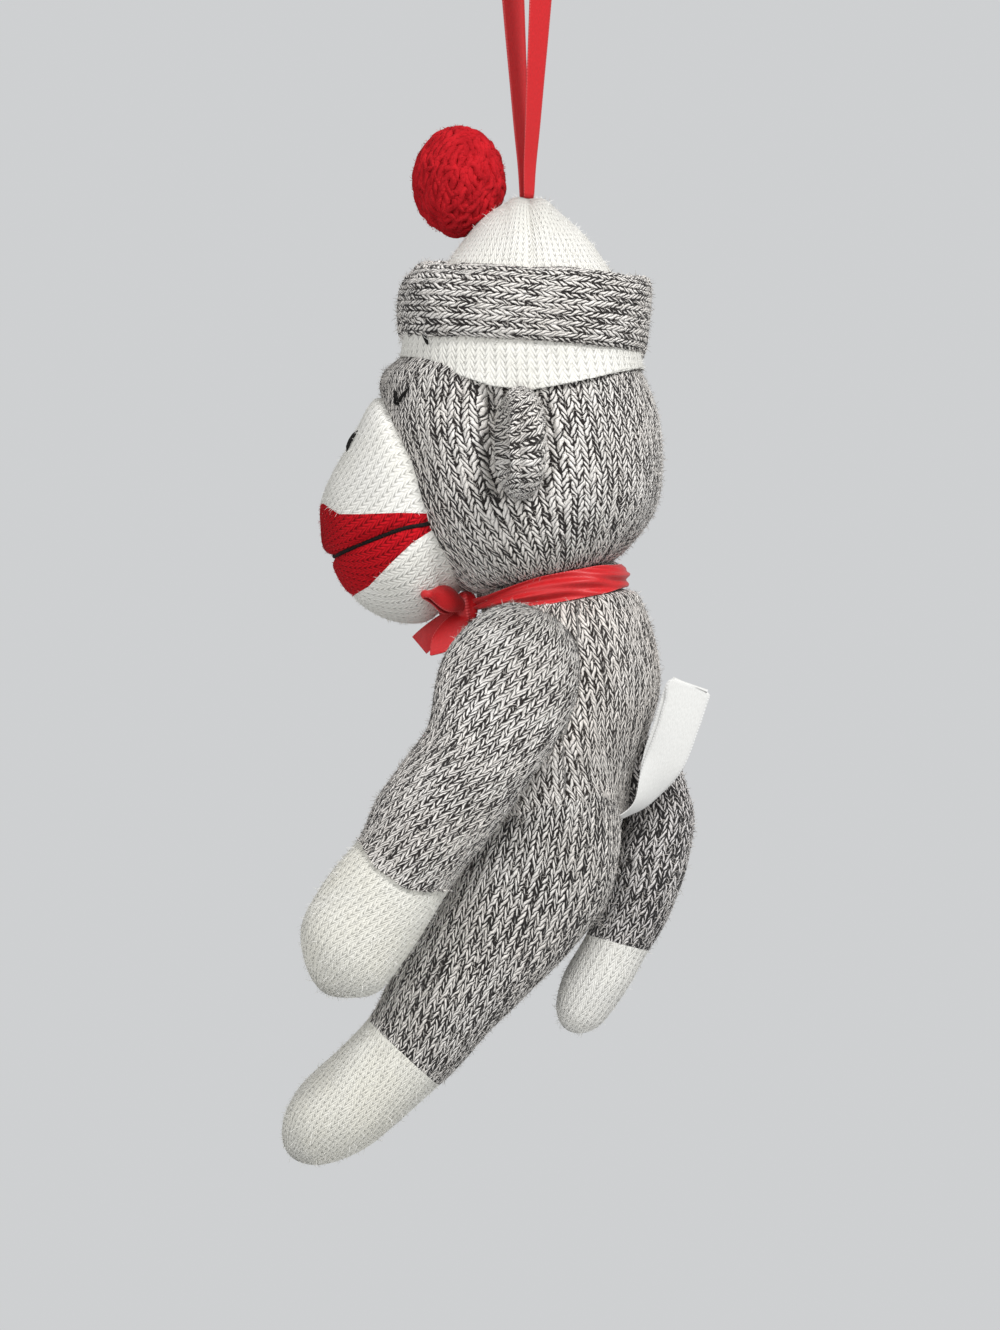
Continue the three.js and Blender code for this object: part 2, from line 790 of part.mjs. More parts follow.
const bowLoopShares = [
  [0, -0.06],
  [0.35, -0.2],
  [0.75, -0.22],
  [1, -0.1],
  [1, 0.1],
  [0.75, 0.22],
  [0.35, 0.2],
  [0, 0.06],
];
function bowLoop() {
  const outline = bowLoopShares.map(([along, out]) => [along * bowLoopLength, out * bowLoopLength]);
  const holeLength = bowLoopLength - 3 * ribbonThickness;
  const hole = bowLoopShares.map(([along, out]) => {
    const shrunk = Math.sign(out) * (Math.abs(out) * bowLoopLength - ribbonThickness / 2);
    return [1.5 * ribbonThickness + along * holeLength, 0.7 * shrunk];
  });
  const geometry = ribbonStrip(outline, hole, 0.85 * ribbonWidth);
  geometry.translate(0, 0, -0.425 * ribbonWidth);
  return geometry;
}

function bowTail() {
  const half = 0.42 * ribbonWidth;
  const outline = [
    [0, -half / 2],
    [0.4 * bowTailLength, -half],
    [bowTailLength, -half],
    [0.7 * bowTailLength, half],
    [0.3 * bowTailLength, half],
    [0, half / 2],
  ];
  return ribbonStrip(outline, null, ribbonThickness);
}

const bandOutside = rimHalfDepth + 2 * gap + ribbonThickness;
const knotSide = 0.09 * headWidth;
const knotMiddle = placeIn(ribbonFrame, 0.16 * ribbonWidth, -bandOutside - 0.32 * knotWidth, knotSide);
const bandOutline = neckBand(gap);

// A piece of the bow, turned so that its length runs the given way and its width as near up as it can
function bowPiece(geometry, start, way, upward) {
  const along = way.clone().normalize();
  const across = new THREE.Vector3().crossVectors(upward, along).normalize();
  const up = new THREE.Vector3().crossVectors(along, across);
  geometry.applyMatrix4(new THREE.Matrix4().makeBasis(along, across, up));
  geometry.translate(start.x, start.y, start.z);
  return solidOf(geometry);
}

const knotHalves = [knotWidth / 2, 0.45 * knotWidth, 0.6 * ribbonWidth];
const knotBall = ball(knotMiddle, ...knotHalves, coarseSides);
const knotRoom = ball(knotMiddle, ...knotHalves.map((half) => half + gap), coarseSides);
const chinRoom = stuffed(face, gap).add(stuffed(head, gap));
const chinRooms = [0, ...noddingDegrees].map((degrees) => swung(chinRoom, neck, -degrees));
const bowRoom = union([bandOutline, knotRoom, stuffed(torso, gap), ...chinRooms]);
const upwards = at(0, 0, 1);
const outwards = at(0.2, -1, 0.4);
// Each piece of the bow: its shape, how far below the knot's middle it starts, its way and its upper side
const bowPieces = {
  bow_loop_left: [bowLoop(), -0.1, at(0.82, -0.6, 0.15), upwards],
  bow_loop_right: [bowLoop(), -0.15, at(-0.85, -0.3, -0.05), upwards],
  bow_tail_left: [bowTail(), 0.75, at(0.7, -0.75, -0.75), outwards],
  bow_tail_right: [bowTail(), 0.78, at(-1, -0.8, -0.5), outwards],
};

// The sewn label: a folded strip that leaves the seat seam and leans back and up
const labelRoot = at(0.32 * torsoWidth, neck.y + 0.318 * torsoDepth, neck.z - 0.921 * torsoHeight);
// Rows of the label: share of its length, then in shares of its width its sideways bend and half width
const labelRowShares = [
  [0, 0, 0.13],
  [0.106, 0.195, 0.15],
  [0.27, 0.27, 0.28],
  [0.5, 0.24, 0.47],
  [0.737, 0.136, 0.47],
  [0.95, 0.02, 0.48],
  [1, 0, 0.4],
];
const labelFrame = { origin: labelRoot, lean: 180 - labelLean };

function labelSolid() {
  const halfThick = labelThickness / 2;
  const rings = labelRowShares.map(([along, bend, half]) => {
    const near = (bend + half) * labelWidth;
    const far = (bend - half) * labelWidth;
    const corners = [
      [near, halfThick],
      [far, halfThick],
      [far, -halfThick],
      [near, -halfThick],
    ];
    return corners.map(([back, out]) => placeIn(labelFrame, along * labelLength, -back, out));
  });
  return solidOf(skin(rings, middleOf(rings[0]), middleOf(rings.at(-1))));
}

// The whole doll
const doll = new THREE.Group();
doll.position.z = -loopHeight;
const pieces = [
  ["hang_ribbon", hangingRibbon(), satin()],
  ["hat_cap", capSolid, white()],
  ["hat_cuff", cuffSolid, marl()],
  ["pompom", pompomSolid, red()],
  ["head_knit", headSolid, marl()],
  ["muzzle_top", muzzleDome.intersect(zoneBetween(browShares, lipTopShares)), white()],
  ["upper_lip", muzzleDome.intersect(zoneBetween(lipTopShares, mouthShares)), red()],
  ["lower_lip", muzzleDome.intersect(zoneBetween(mouthShares, lipBottomShares)), red()],
  ["muzzle_chin", muzzleDome.intersect(zoneBetween(lipBottomShares, chinShares)), white()],
  ["mouth_line", mouthLine, black()],
  ["neck_ribbon", neckBand(0), satin()],
  ["bow_knot", knotBall.subtract(union([bandOutline, ...chinRooms])), satin()],
  ["torso_knit", torsoSolid, marl()],
  ["tail_knit", tails.upper, marl()],
  ["tail_tip", tails.lower, white()],
  ["care_label", labelSolid(), white()],
];
for (const [name, [geometry, below, way, upward]] of Object.entries(bowPieces)) {
  const start = way.clone().setLength(0.35 * knotWidth).add(knotMiddle);
  start.z -= below * knotWidth;
  const solid = bowPiece(geometry, start, way, upward).subtract(bowRoom);
  pieces.push([name, solid, satin()]);
}
const pairs = [
  ["ear", ear(), marl],
  ["eye", eye(), black],
  ["nostril", nostril(), black],
  ["arm_knit", arms.upper, marl],
  ["hand", arms.lower, white],
  ["leg_knit", legs.upper, marl],
  ["foot", legs.lower, white],
];
for (const [name, solid, material] of pairs) {
  pieces.push(["left_" + name, solid, material()]);
  pieces.push(["right_" + name, mirrored(solid), material()]);
}
for (const [name, solid, material] of pieces) {
  doll.add(meshOf(name, solid, material));
}

const part = new THREE.Group();
part.add(doll);
export default part;
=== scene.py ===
import math

import bmesh
import bpy
import numpy as np
from mathutils import Matrix, Vector
from mathutils.bvhtree import BVHTree


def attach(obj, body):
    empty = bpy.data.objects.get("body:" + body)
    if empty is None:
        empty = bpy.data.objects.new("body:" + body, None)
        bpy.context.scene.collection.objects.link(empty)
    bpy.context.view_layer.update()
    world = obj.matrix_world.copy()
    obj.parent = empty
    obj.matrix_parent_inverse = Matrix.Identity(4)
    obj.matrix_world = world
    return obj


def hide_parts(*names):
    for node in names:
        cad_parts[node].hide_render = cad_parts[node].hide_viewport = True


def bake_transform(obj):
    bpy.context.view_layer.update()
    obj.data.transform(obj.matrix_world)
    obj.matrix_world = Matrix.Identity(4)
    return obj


# A stuffed sock monkey that hangs from a satin ribbon loop sewn to the top of its hat.
# It faces -Y and its left hand is at +X. Shapes are worked out in millimetres below the top
# of the hat, and are set in metres below the top of the loop.

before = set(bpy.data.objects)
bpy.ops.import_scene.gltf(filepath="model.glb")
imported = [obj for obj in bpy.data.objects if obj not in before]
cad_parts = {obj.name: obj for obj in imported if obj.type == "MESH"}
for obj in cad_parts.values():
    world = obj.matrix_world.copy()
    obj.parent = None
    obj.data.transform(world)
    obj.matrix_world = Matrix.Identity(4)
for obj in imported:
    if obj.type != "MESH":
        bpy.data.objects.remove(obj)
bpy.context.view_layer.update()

LOOP_HEIGHT = 78
RIBBON_WIDTH = 7.5
RIBBON_THICKNESS = 0.4
WALE = 3.0  # width of a column of stitches
COURSE = 1.9  # height of a row of stitches
BOTH_HANDS = ((1, "left_"), (-1, "right_"))


def in_metres(places):
    places = np.array(places, float)
    places[..., 2] -= LOOP_HEIGHT
    return places / 1000


def add_object(name, data):
    thing = bpy.data.objects.new(name, data)
    bpy.context.scene.collection.objects.link(thing)
    return thing


# Camera and light

CAMERA_AWAY = 2.5
VIEW_MIDDLE = (-0.0071, -0.2008)  # the picture's middle, along Y and Z
VIEW_HEIGHT = 0.3511
SENSOR_SIZE = 36
DOLL_MIDDLE = (0, 0, -0.2)


def set_camera():
    data = bpy.data.cameras.new("camera")
    data.lens = SENSOR_SIZE * CAMERA_AWAY / VIEW_HEIGHT
    camera = add_object("camera", data)
    camera.location = (CAMERA_AWAY, *VIEW_MIDDLE)
    camera.rotation_euler = (math.pi / 2, 0, math.pi / 2)
    bpy.context.scene.camera = camera


def set_lamp(name, place, size, watts):
    data = bpy.data.lights.new(name, "AREA")
    data.shape = "DISK"
    data.size = size
    data.energy = watts
    lamp = add_object(name, data)
    lamp.location = place
    way = Vector(DOLL_MIDDLE) - Vector(place)
    lamp.rotation_mode = "QUATERNION"
    lamp.rotation_quaternion = way.to_track_quat("-Z", "Y")


# Materials


class Sums:
    """Sums on sockets and numbers in a node tree."""

    def __init__(self, tree):
        self.tree = tree

    def give(self, socket, value):
        if isinstance(value, bpy.types.NodeSocket):
            self.tree.links.new(value, socket)
        elif value is not None:
            socket.default_value = (*value, 1) if socket.type == "RGBA" else value

    def put(self, kind, *values, **settings):
        node = self.tree.nodes.new(kind)
        for name, value in settings.items():
            setattr(node, name, value)
        for socket, value in zip(node.inputs, values):
            self.give(socket, value)
        return node

    def do(self, operation, *values):
        return self.put("ShaderNodeMath", *values, operation=operation).outputs[0]

    def rest(self, value):
        """What is left of 1."""
        return self.do("SUBTRACT", 1.0, value)

    def spread(self, value):
        """Takes 0 to 1 out to -1 to 1."""
        return self.do("MULTIPLY_ADD", value, 2.0, -1.0)

    def hump(self, value):
        """0 at 0 and at 1, and 1 halfway."""
        off = self.spread(value)
        return self.rest(self.do("MULTIPLY", off, off))

    def step(self, value, low, high):
        limits = (low, high, 0.0, 1.0)
        return self.put("ShaderNodeMapRange", value, *limits, interpolation_type="SMOOTHSTEP").outputs[0]

    def mix(self, share, first, second):
        node = self.tree.nodes.new("ShaderNodeMix")
        node.data_type = "RGBA"
        inputs = {socket.identifier: socket for socket in node.inputs}
        for name, value in (("Factor_Float", share), ("A_Color", first), ("B_Color", second)):
            self.give(inputs[name], value)
        return next(socket for socket in node.outputs if socket.identifier == "Result_Color")

    def noise(self, vector, scale, detail=2.0, roughness=0.5, output="Fac"):
        node = self.tree.nodes.new("ShaderNodeTexNoise")
        given = {"Vector": vector, "Scale": scale, "Detail": detail, "Roughness": roughness}
        for name, value in given.items():
            self.give(node.inputs[name], value)
        return node.outputs[output]

    def vector(self, x, y, z=0.0):
        return self.put("ShaderNodeCombineXYZ", x, y, z).outputs[0]

    def parts(self, vector):
        return self.put("ShaderNodeSeparateXYZ", vector).outputs


def set_world(strength, seen):
    """Even white light all round; the camera sees a plain pale colour instead."""
    world = bpy.data.worlds.new("studio")
    bpy.context.scene.world = world
    world.use_nodes = True
    s = Sums(world.node_tree)
    background = s.tree.nodes["Background"]
    camera = s.tree.nodes.new("ShaderNodeLightPath").outputs["Is Camera Ray"]
    s.give(background.inputs[0], s.mix(camera, (1, 1, 1), seen))
    s.give(background.inputs[1], s.do("MULTIPLY_ADD", camera, 1 - strength, strength))


set_camera()
set_lamp("key", (1.0, 0.75, 1.05), size=0.5, watts=23.5)
set_lamp("fill", (2.0, -0.7, 0.5), size=1.2, watts=14)
set_world(0.45, (0.62, 0.63, 0.64))
bpy.context.scene.view_settings.view_transform = "Standard"


def make_stitches():
    """Plain knitting from a stitch map: U counts columns and V counts rows."""
    tree = bpy.data.node_groups.new("knit stitches", "ShaderNodeTree")
    add = tree.interface.new_socket
    add(name="Stitch map", in_out="INPUT", socket_type="NodeSocketVector")
    for name in ("Slant", "Fray", "Favour"):
        add(name=name, in_out="INPUT", socket_type="NodeSocketFloat")
    for name in ("Height", "Yarn", "Chance", "Hole"):
        add(name=name, in_out="OUTPUT", socket_type="NodeSocketFloat")
    given = tree.nodes.new("NodeGroupInput").outputs
    result = tree.nodes.new("NodeGroupOutput").inputs
    s = Sums(tree)

    # The map is shaken a little, so no two stitches are alike
    wander = s.noise(given["Stitch map"], 0.9, 3.0, output="Color")
    shift = s.put("ShaderNodeVectorMath", wander, (0.5, 0.5, 0.5), operation="SUBTRACT").outputs[0]
    scaled = s.put("ShaderNodeVectorMath", shift, None, None, given["Fray"], operation="SCALE").outputs[0]
    moved = s.put("ShaderNodeVectorMath", given["Stitch map"], scaled).outputs[0]
    across, along = s.parts(moved)[:2]

    # Each column is a row of V shapes, so each leg of a V climbs away from the column's middle
    aside = s.do("ABSOLUTE", s.spread(s.do("FRACT", across)))
    climb = s.do("MULTIPLY_ADD", aside, given["Slant"], along)
    crown = s.hump(s.do("FRACT", climb))
    height = s.do("MULTIPLY", crown, s.do("MULTIPLY_ADD", s.hump(aside), 0.75, 0.25))
    s.give(result["Height"], height)

    # The plies of the yarn are twisted along each leg
    leg = s.do("FLOOR", s.do("MULTIPLY", across, 2.0))
    twist = s.vector(s.do("MULTIPLY", aside, 1.3), s.do("MULTIPLY", climb, 5.0), leg)
    s.give(result["Yarn"], s.noise(twist, 1.0, 3.0, 0.65))

    # Every leg has its own chance to be pale, and one side of the columns can be favoured
    cell = s.vector(leg, s.do("FLOOR", climb))
    chance = s.put("ShaderNodeTexWhiteNoise", cell, noise_dimensions="2D").outputs[0]
    side = s.do("SUBTRACT", s.do("GREATER_THAN", s.do("FRACT", across), 0.5), 0.5)
    s.give(result["Chance"], s.do("MULTIPLY_ADD", side, given["Favour"], chance))

    near = s.rest(s.step(aside, 0.1, 0.5))
    low = s.rest(s.step(crown, 0.2, 0.9))
    s.give(result["Hole"], s.do("MULTIPLY", near, low))
    return tree


stitches = make_stitches()


class Look(Sums):
    """A material in the making."""

    def __init__(self, name):
        self.material = bpy.data.materials.new(name)
        self.material.use_nodes = True
        super().__init__(self.material.node_tree)
        self.shader = self.tree.nodes["Principled BSDF"]

    def place(self):
        return self.tree.nodes.new("ShaderNodeTexCoord").outputs["Object"]

    def stitch_map(self):
        return self.put("ShaderNodeUVMap", uv_map="stitches").outputs[0]

    def knit(self, slant, fray, favour=0.0):
        group = self.put("ShaderNodeGroup", node_tree=stitches)
        given = (("Stitch map", self.stitch_map()), ("Slant", slant), ("Fray", fray), ("Favour", favour))
        for name, value in given:
            self.give(group.inputs[name], value)
        return group.outputs

    def patches(self, scale, detail=3.0):
        """Soft patches all over, from 0 to 1."""
        return self.step(self.noise(self.place(), scale, detail), 0.3, 0.7)

    def finish(self, colour, height, depth, roughness=0.95, specular=0.15, sheen=0.0):
        """Sets the colour, the shine and the fine relief, whose depth is in metres."""
        bump = self.tree.nodes.new("ShaderNodeBump")
        for name, value in (("Strength", 1.0), ("Distance", depth), ("Height", height)):
            self.give(bump.inputs[name], value)
        settings = {
            "Base Color": colour, "Roughness": roughness, "Specular IOR Level": specular,
            "Sheen Weight": sheen, "Normal": bump.outputs[0],
        }
        for name, value in settings.items():
            self.give(self.shader.inputs[name], value)
        return self.material


def marled_knit(name, dark, light, tint, favour, low=2.14):
    """Cream and near-black plies twisted together and knitted; more is dark the higher low is."""
    s = Look(name)
    knit = s.knit(slant=1.5, fray=0.5, favour=favour)
    grain = s.do("MULTIPLY_ADD", knit["Chance"], 1.15, s.do("MULTIPLY", knit["Height"], 1.7))
    grain = s.do("MULTIPLY_ADD", knit["Yarn"], 1.8, grain)
    share = s.step(grain, low, low + 0.3)
    colour = s.mix(share, dark, s.mix(s.patches(55.0), light, tint))
    height = s.do("MULTIPLY_ADD", knit["Yarn"], 0.35, knit["Height"])
    height = s.do("MULTIPLY", height, s.do("MULTIPLY_ADD", share, 0.45, 0.7))
    return s.finish(colour, height, 0.0006, sheen=0.15), "marled_knit"


def plain_knit(name, slot, shade, light, tint, hole_shade=0.3, depth=0.00018, ribs=0.18, sheen=0.2):
    """One-colour knitting with small holes where the stitches meet, painted dark as shade."""
    s = Look(name)
    knit = s.knit(slant=1.2, fray=0.2)
    grain = s.do("MULTIPLY_ADD", knit["Yarn"], 0.8, s.do("MULTIPLY", knit["Height"], ribs))
    colour = s.mix(s.step(grain, 0.1, 0.75), shade, s.mix(s.patches(60.0), light, tint))
    # Painted shade: the holes where the stitches meet are darkened in colour towards a deep grey
    colour = s.mix(s.do("MULTIPLY", knit["Hole"], hole_shade), colour, [0.4 * c for c in shade])
    height = s.do("MULTIPLY_ADD", knit["Yarn"], 0.3, knit["Height"])
    height = s.do("SUBTRACT", height, knit["Hole"])
    return s.finish(colour, height, depth, sheen=sheen), slot


def satin(name, slot, light, dark, roughness):
    """Woven ribbon with fine weave lines along it, painted lighter and darker as sheen streaks, and raised
    dots down its edges.
    """
    s = Look(name)
    across, along = s.parts(s.stitch_map())[:2]
    # Painted highlight: streaks along the ribbon mix its dark and light colours, standing in for the satin's
    # sheen
    lines = s.noise(s.vector(s.do("MULTIPLY", across, 60.0), along), 1.0)
    colour = s.mix(s.step(lines, 0.3, 0.7), dark, light)
    edge = s.do("ABSOLUTE", s.do("SUBTRACT", across, 0.5))
    dot = s.do("ABSOLUTE", s.spread(s.do("FRACT", s.do("MULTIPLY", along, 1.25))))
    dots = s.do("MULTIPLY", s.step(edge, 0.455, 0.475), s.step(dot, 0.3, 0.6))
    colour = s.mix(s.do("MULTIPLY", dots, 0.55), colour, [min(1.0, 1.5 * c + 0.12) for c in light])
    return s.finish(colour, lines, 0.00008, roughness, specular=0.5, sheen=0.1), slot


def loose_yarn(name, slot, dark, light, scale, depth):
    s = Look(name)
    fibres = s.noise(s.place(), scale, 3.0, 0.6)
    share = s.do("MULTIPLY_ADD", fibres, 0.5, s.do("MULTIPLY", s.patches(220.0, 2.0), 0.5))
    return s.finish(s.mix(share, dark, light), fibres, depth), slot


def sewing_thread(name, slot, dark, light):
    s = Look(name)
    fibres = s.noise(s.place(), 2500.0)
    colour = s.mix(s.step(fibres, 0.3, 0.7), dark, light)
    return s.finish(colour, fibres, 0.0002, roughness=0.9, specular=0.2), slot


# Each look is a material and the slot that it belongs to
marl = marled_knit("marled knit", (0.024, 0.02, 0.019), (0.98, 0.95, 0.91), (0.94, 0.9, 0.85), 0.28)
# Painted light: the ears' marl is a lighter copy of the knit, as the ears stand out into more light
marl_ear_painted_light = marled_knit(
    "marled knit of the ears, painted lighter", (0.03, 0.026, 0.024), (1.0, 0.97, 0.93), (0.97, 0.93, 0.88), 0.4
)
# Painted shade: the legs' marl is a darker copy of the knit, with more of it dark, as the legs hang in the
# arms' shadow
marl_leg_painted_shade = marled_knit(
    "marled knit of the legs, painted darker", (0.022, 0.019, 0.018), (0.93, 0.9, 0.86), (0.89, 0.85, 0.8), 0.35, 2.24
)
# Painted shade: the tail's marl is a darker, greyer copy of the knit, with more of it dark, as the tail hangs
# in the body's shadow
marl_tail_painted_shade = marled_knit(
    "marled knit of the tail, painted darker", (0.022, 0.02, 0.02), (0.84, 0.81, 0.79), (0.8, 0.76, 0.74), 0.2, 2.32
)
marl_back = marled_knit(
    "marled knit slanting back", (0.026, 0.021, 0.018), (0.98, 0.94, 0.89), (0.95, 0.89, 0.83), -0.3
)
white_wool = plain_knit("white knit", "white_knit", (0.7, 0.69, 0.64), (0.91, 0.9, 0.86), (0.87, 0.86, 0.8))
cream_wool = plain_knit("cream knit", "white_knit", (0.66, 0.65, 0.58), (0.9, 0.89, 0.83), (0.87, 0.85, 0.76))
red_wool = plain_knit(
    "red knit", "red_knit", (0.3, 0.003, 0.007), (0.62, 0.008, 0.016), (0.54, 0.006, 0.013),
    hole_shade=0.55, depth=0.0003, ribs=0.5, sheen=0.0,
)
red_satin = satin("red satin", "red_satin", (0.64, 0.009, 0.014), (0.5, 0.005, 0.008), 0.42)
white_satin = satin("white satin", "white_satin", (0.74, 0.74, 0.72), (0.66, 0.66, 0.64), 0.5)
red_yarn = loose_yarn("red yarn", "red_yarn", (0.3, 0.004, 0.008), (0.62, 0.016, 0.024), 1400.0, 0.0003)
red_fuzz = (red_yarn[0], "red_knit")
marl_fuzz = loose_yarn("marled fuzz", "marled_knit", (0.25, 0.23, 0.21), (0.85, 0.81, 0.76), 900.0, 0.0)
white_fuzz = loose_yarn("white fuzz", "white_knit", (0.75, 0.74, 0.7), (0.92, 0.91, 0.87), 900.0, 0.0)
black_thread = sewing_thread("black thread", "black_thread", (0.004, 0.004, 0.004), (0.016, 0.015, 0.014))

# The loose hairs of each slot's pieces
hairs = {look[1]: look for look in (marl_fuzz, white_fuzz, red_fuzz, red_yarn)}


# Shapes


def cubic(knots, rows, where):
    """A smooth curve through rows of numbers, read at many places."""
    rows = np.asarray(rows, float)
    count, steps = len(knots), np.diff(knots)
    system, pull = np.eye(count), np.zeros_like(rows)
    for i in range(1, count - 1):
        system[i, i - 1 : i + 2] = steps[i - 1], 2 * (steps[i - 1] + steps[i]), steps[i]
    pull[1:-1] = 6 * np.diff(np.diff(rows, axis=0) / steps[:, None], axis=0)
    bend = np.linalg.solve(system, pull)
    where = np.asarray(where, float)
    k = np.clip(np.searchsorted(knots, where) - 1, 0, count - 2)
    h = steps[k][..., None]
    a = (knots[k + 1] - where)[..., None] / h
    b = (where - knots[k])[..., None] / h
    curve = (a**3 - a) * bend[k] + (b**3 - b) * bend[k + 1]
    return a * rows[k] + b * rows[k + 1] + curve * h * h / 6


def reach_along(path):
    """How far each place of a path is from its start, along the path."""
    return np.concatenate(([0], np.cumsum(np.linalg.norm(np.diff(path, axis=0), axis=1))))


def read_path(path, spots):
    """Places on a path at distances along it."""
    reach = reach_along(path)
    return np.column_stack([np.interp(spots, reach, path[:, i]) for i in range(3)])


def unit(ways):
    return ways / np.maximum(np.linalg.norm(ways, axis=-1, keepdims=True), 1e-9)


def squared(values, exponent):
    """Fills out the sines and cosines of a circle towards a rounded square."""
    return np.sign(values) * np.abs(values) ** (2 / exponent)


def fade(value, low, high):
    share = np.clip((value - low) / (high - low), 0, 1)
    return share * share * (3 - 2 * share)


def bell(value, width):
    """1 at 0, and next to nothing beyond twice the width."""
    return np.exp(-((value / width) ** 2))


def blunt(count, taper, power):
    """1 along most of a thread, and less by the taper at its two ends."""
    return 1 - taper * np.abs(np.linspace(-1, 1, count)) ** power


class Form:
    """A stuffed shape: rows of shares are along, back, half depth, half width, side, lean."""

    def __init__(self, origin, lean, length, depth, width, exponent, rows, ends):
        self.origin, self.lean = np.array(origin, float), lean
        self.sine, self.cosine = math.sin(math.radians(lean)), math.cos(math.radians(lean))
        self.length, self.depth, self.width = length, depth, width
        self.exponent = exponent
        full = [list(row) + [0] * (6 - len(row)) for row in rows]
        start, end = (
            [*point[:2], 0, 0, point[2] if len(point) > 2 else 0, near[5]]
            for point, near in zip(ends, (full[0], full[-1]))
        )
        turned = lambda row: [*row[:2], -row[2], -row[3], *row[4:]]
        self.rows = np.array([turned(full[0]), start, *full, end, turned(full[-1])], float)
        along, back, deep, wide = self.rows[:, :4].T
        self.knots = reach_along(
            np.column_stack((along * length, back * depth, (deep * depth + wide * width) / 2))
        )
        self.first, self.last = self.knots[1], self.knots[-2]

    def surface(self, spacing):
        """A net of places over the shape, with its turn and run in millimetres."""
        runs = np.linspace(self.first, self.last, int((self.last - self.first) / spacing) + 1)
        rows = cubic(self.knots, self.rows, runs)
        depth, width = rows[:, 2] * self.depth, rows[:, 3] * self.width
        girth = 2 * math.pi * math.sqrt(max((depth**2 + width**2).max() / 2, 1))
        share = np.linspace(0, 1, int(girth / spacing) + 1)
        turns = np.linspace(0, 2 * math.pi, 721)
        ring_back, ring_out = squared(np.sin(turns), self.exponent), squared(np.cos(turns), self.exponent)
        back, out = np.empty((2, len(runs), len(share)))
        for i in range(len(runs)):
            d, w = max(depth[i], 1e-3), max(width[i], 1e-3)
            lengths = np.hypot(np.diff(ring_back) * d, np.diff(ring_out) * w)
            reach = np.concatenate(([0], np.cumsum(lengths)))
            back[i] = np.interp(share * reach[-1], reach, ring_back * d)
            out[i] = np.interp(share * reach[-1], reach, ring_out * w)
        along, off = rows[:, 0:1] * self.length, rows[:, 1:2] * self.depth
        middle = self.outside(along, off, rows[:, 4:5] * self.width)
        tilt = np.radians(self.lean + rows[:, 5:6])
        net = middle + np.stack((out, back * np.cos(tilt), back * np.sin(tilt)), axis=-1)
        net[0], net[-1] = net[0].mean(axis=0), net[-1].mean(axis=0)
        return net, share, runs - self.first, girth

    def inside(self, places):
        """Places as along, back and side of this form, in millimetres."""
        x, dy, dz = places[..., 0], places[..., 1] - self.origin[1], places[..., 2] - self.origin[2]
        along = dy * self.sine - dz * self.cosine
        return along, dy * self.cosine + dz * self.sine, x - self.origin[0]

    def outside(self, along, back, side):
        y = self.origin[1] + along * self.sine + back * self.cosine
        z = self.origin[2] - along * self.cosine + back * self.sine
        return np.stack(np.broadcast_arrays(self.origin[0] + side, y, z), axis=-1)

    def read(self, along):
        """The form's middle and half sizes at places along it, in millimetres."""
        rows = cubic(self.knots, self.rows, np.linspace(self.first, self.last, 200))
        at = lambda i, size: np.interp(along / self.length, rows[:, 0], rows[:, i]) * size
        return at(1, self.depth), at(4, self.width), at(2, self.depth), at(3, self.width)


def even_form(middle, lean, length, depth, width, exponent, upper):
    """A form whose lower half mirrors its upper rows."""
    lower = [[-row[0], *row[1:]] for row in upper[::-1] if row[0]]
    return Form(middle, lean, length, depth, width, exponent, upper + lower, [[-0.5, 0], [0.5, 0]])


class Neighbour:
    """A surface that other pieces run into or are sewn to."""

    FAR = 0.03  # metres; places that lie farther off count as this far
    BESIDE = 0.08  # metres; beyond every piece at the doll's left

    def __init__(self, net):
        self.net, self.solid = net, self.tree(net)
        self.middle = Vector(in_metres(net.mean(axis=(0, 1))))

    def tree(self, net):
        mesh, _ = net_mesh(net, np.zeros(net.shape[:2] + (2,)))
        bm = bmesh.new()
        bm.from_mesh(mesh)
        tree = BVHTree.FromBMesh(bm)
        bm.free()
        bpy.data.meshes.remove(mesh)
        return tree

    def distance(self, net):
        """How far places lie from the form's outline, in millimetres, seen from the side."""
        outline = self.tree(self.net * [0, 1, 1])
        flat = in_metres(net * [0, 1, 1]).reshape(-1, 3)
        found = [outline.find_nearest(Vector(p), self.FAR)[3] for p in flat]
        return np.array([self.FAR if d is None else d for d in found]).reshape(net.shape[:2]) * 1000

    def reach(self, net):
        """How far out the form stands at the same height and depth, or far inside where it isn't."""
        start = in_metres(net).reshape(-1, 3)
        start[:, 0] = self.BESIDE
        hits = [self.solid.ray_cast(Vector(p), Vector((-1, 0, 0)))[0] for p in start]
        return np.array([-1.0 if h is None else h.x for h in hits]).reshape(net.shape[:2]) * 1000

    def settle(self, places, lift):
        """Places moved to the surface and lifted off it in millimetres, and the surface's ways there."""
        moved, ways = [], []
        for place in in_metres(places):
            spot, way, _, _ = self.solid.find_nearest(Vector(place))
            if way.dot(spot - self.middle) < 0:
                way = -way
            spot = np.array(spot) * 1000 + [0, 0, LOOP_HEIGHT]
            moved.append(spot + np.array(way) * lift)
            ways.append(way)
        return np.array(moved), np.array(ways)


def wrap(net):
    """A net with a column more on each side, from its other end; its two end columns are the same."""
    return np.concatenate((net[:, -2:-1], net, net[:, 1:2]), axis=1)


def outward(net):
    """Each place's outward way on a net that turns from +X to +Y and runs down."""
    wrapped = wrap(net)
    ways = np.cross(np.gradient(net, axis=0), wrapped[:, 2:] - wrapped[:, :-2])
    ways[0], ways[-1] = ways[1].mean(axis=0), ways[-2].mean(axis=0)
    return unit(ways)


def push(net, height):
    """A net moved outwards by a height, one for all its places or one for each."""
    return net + outward(net) * np.asarray(height)[..., None]


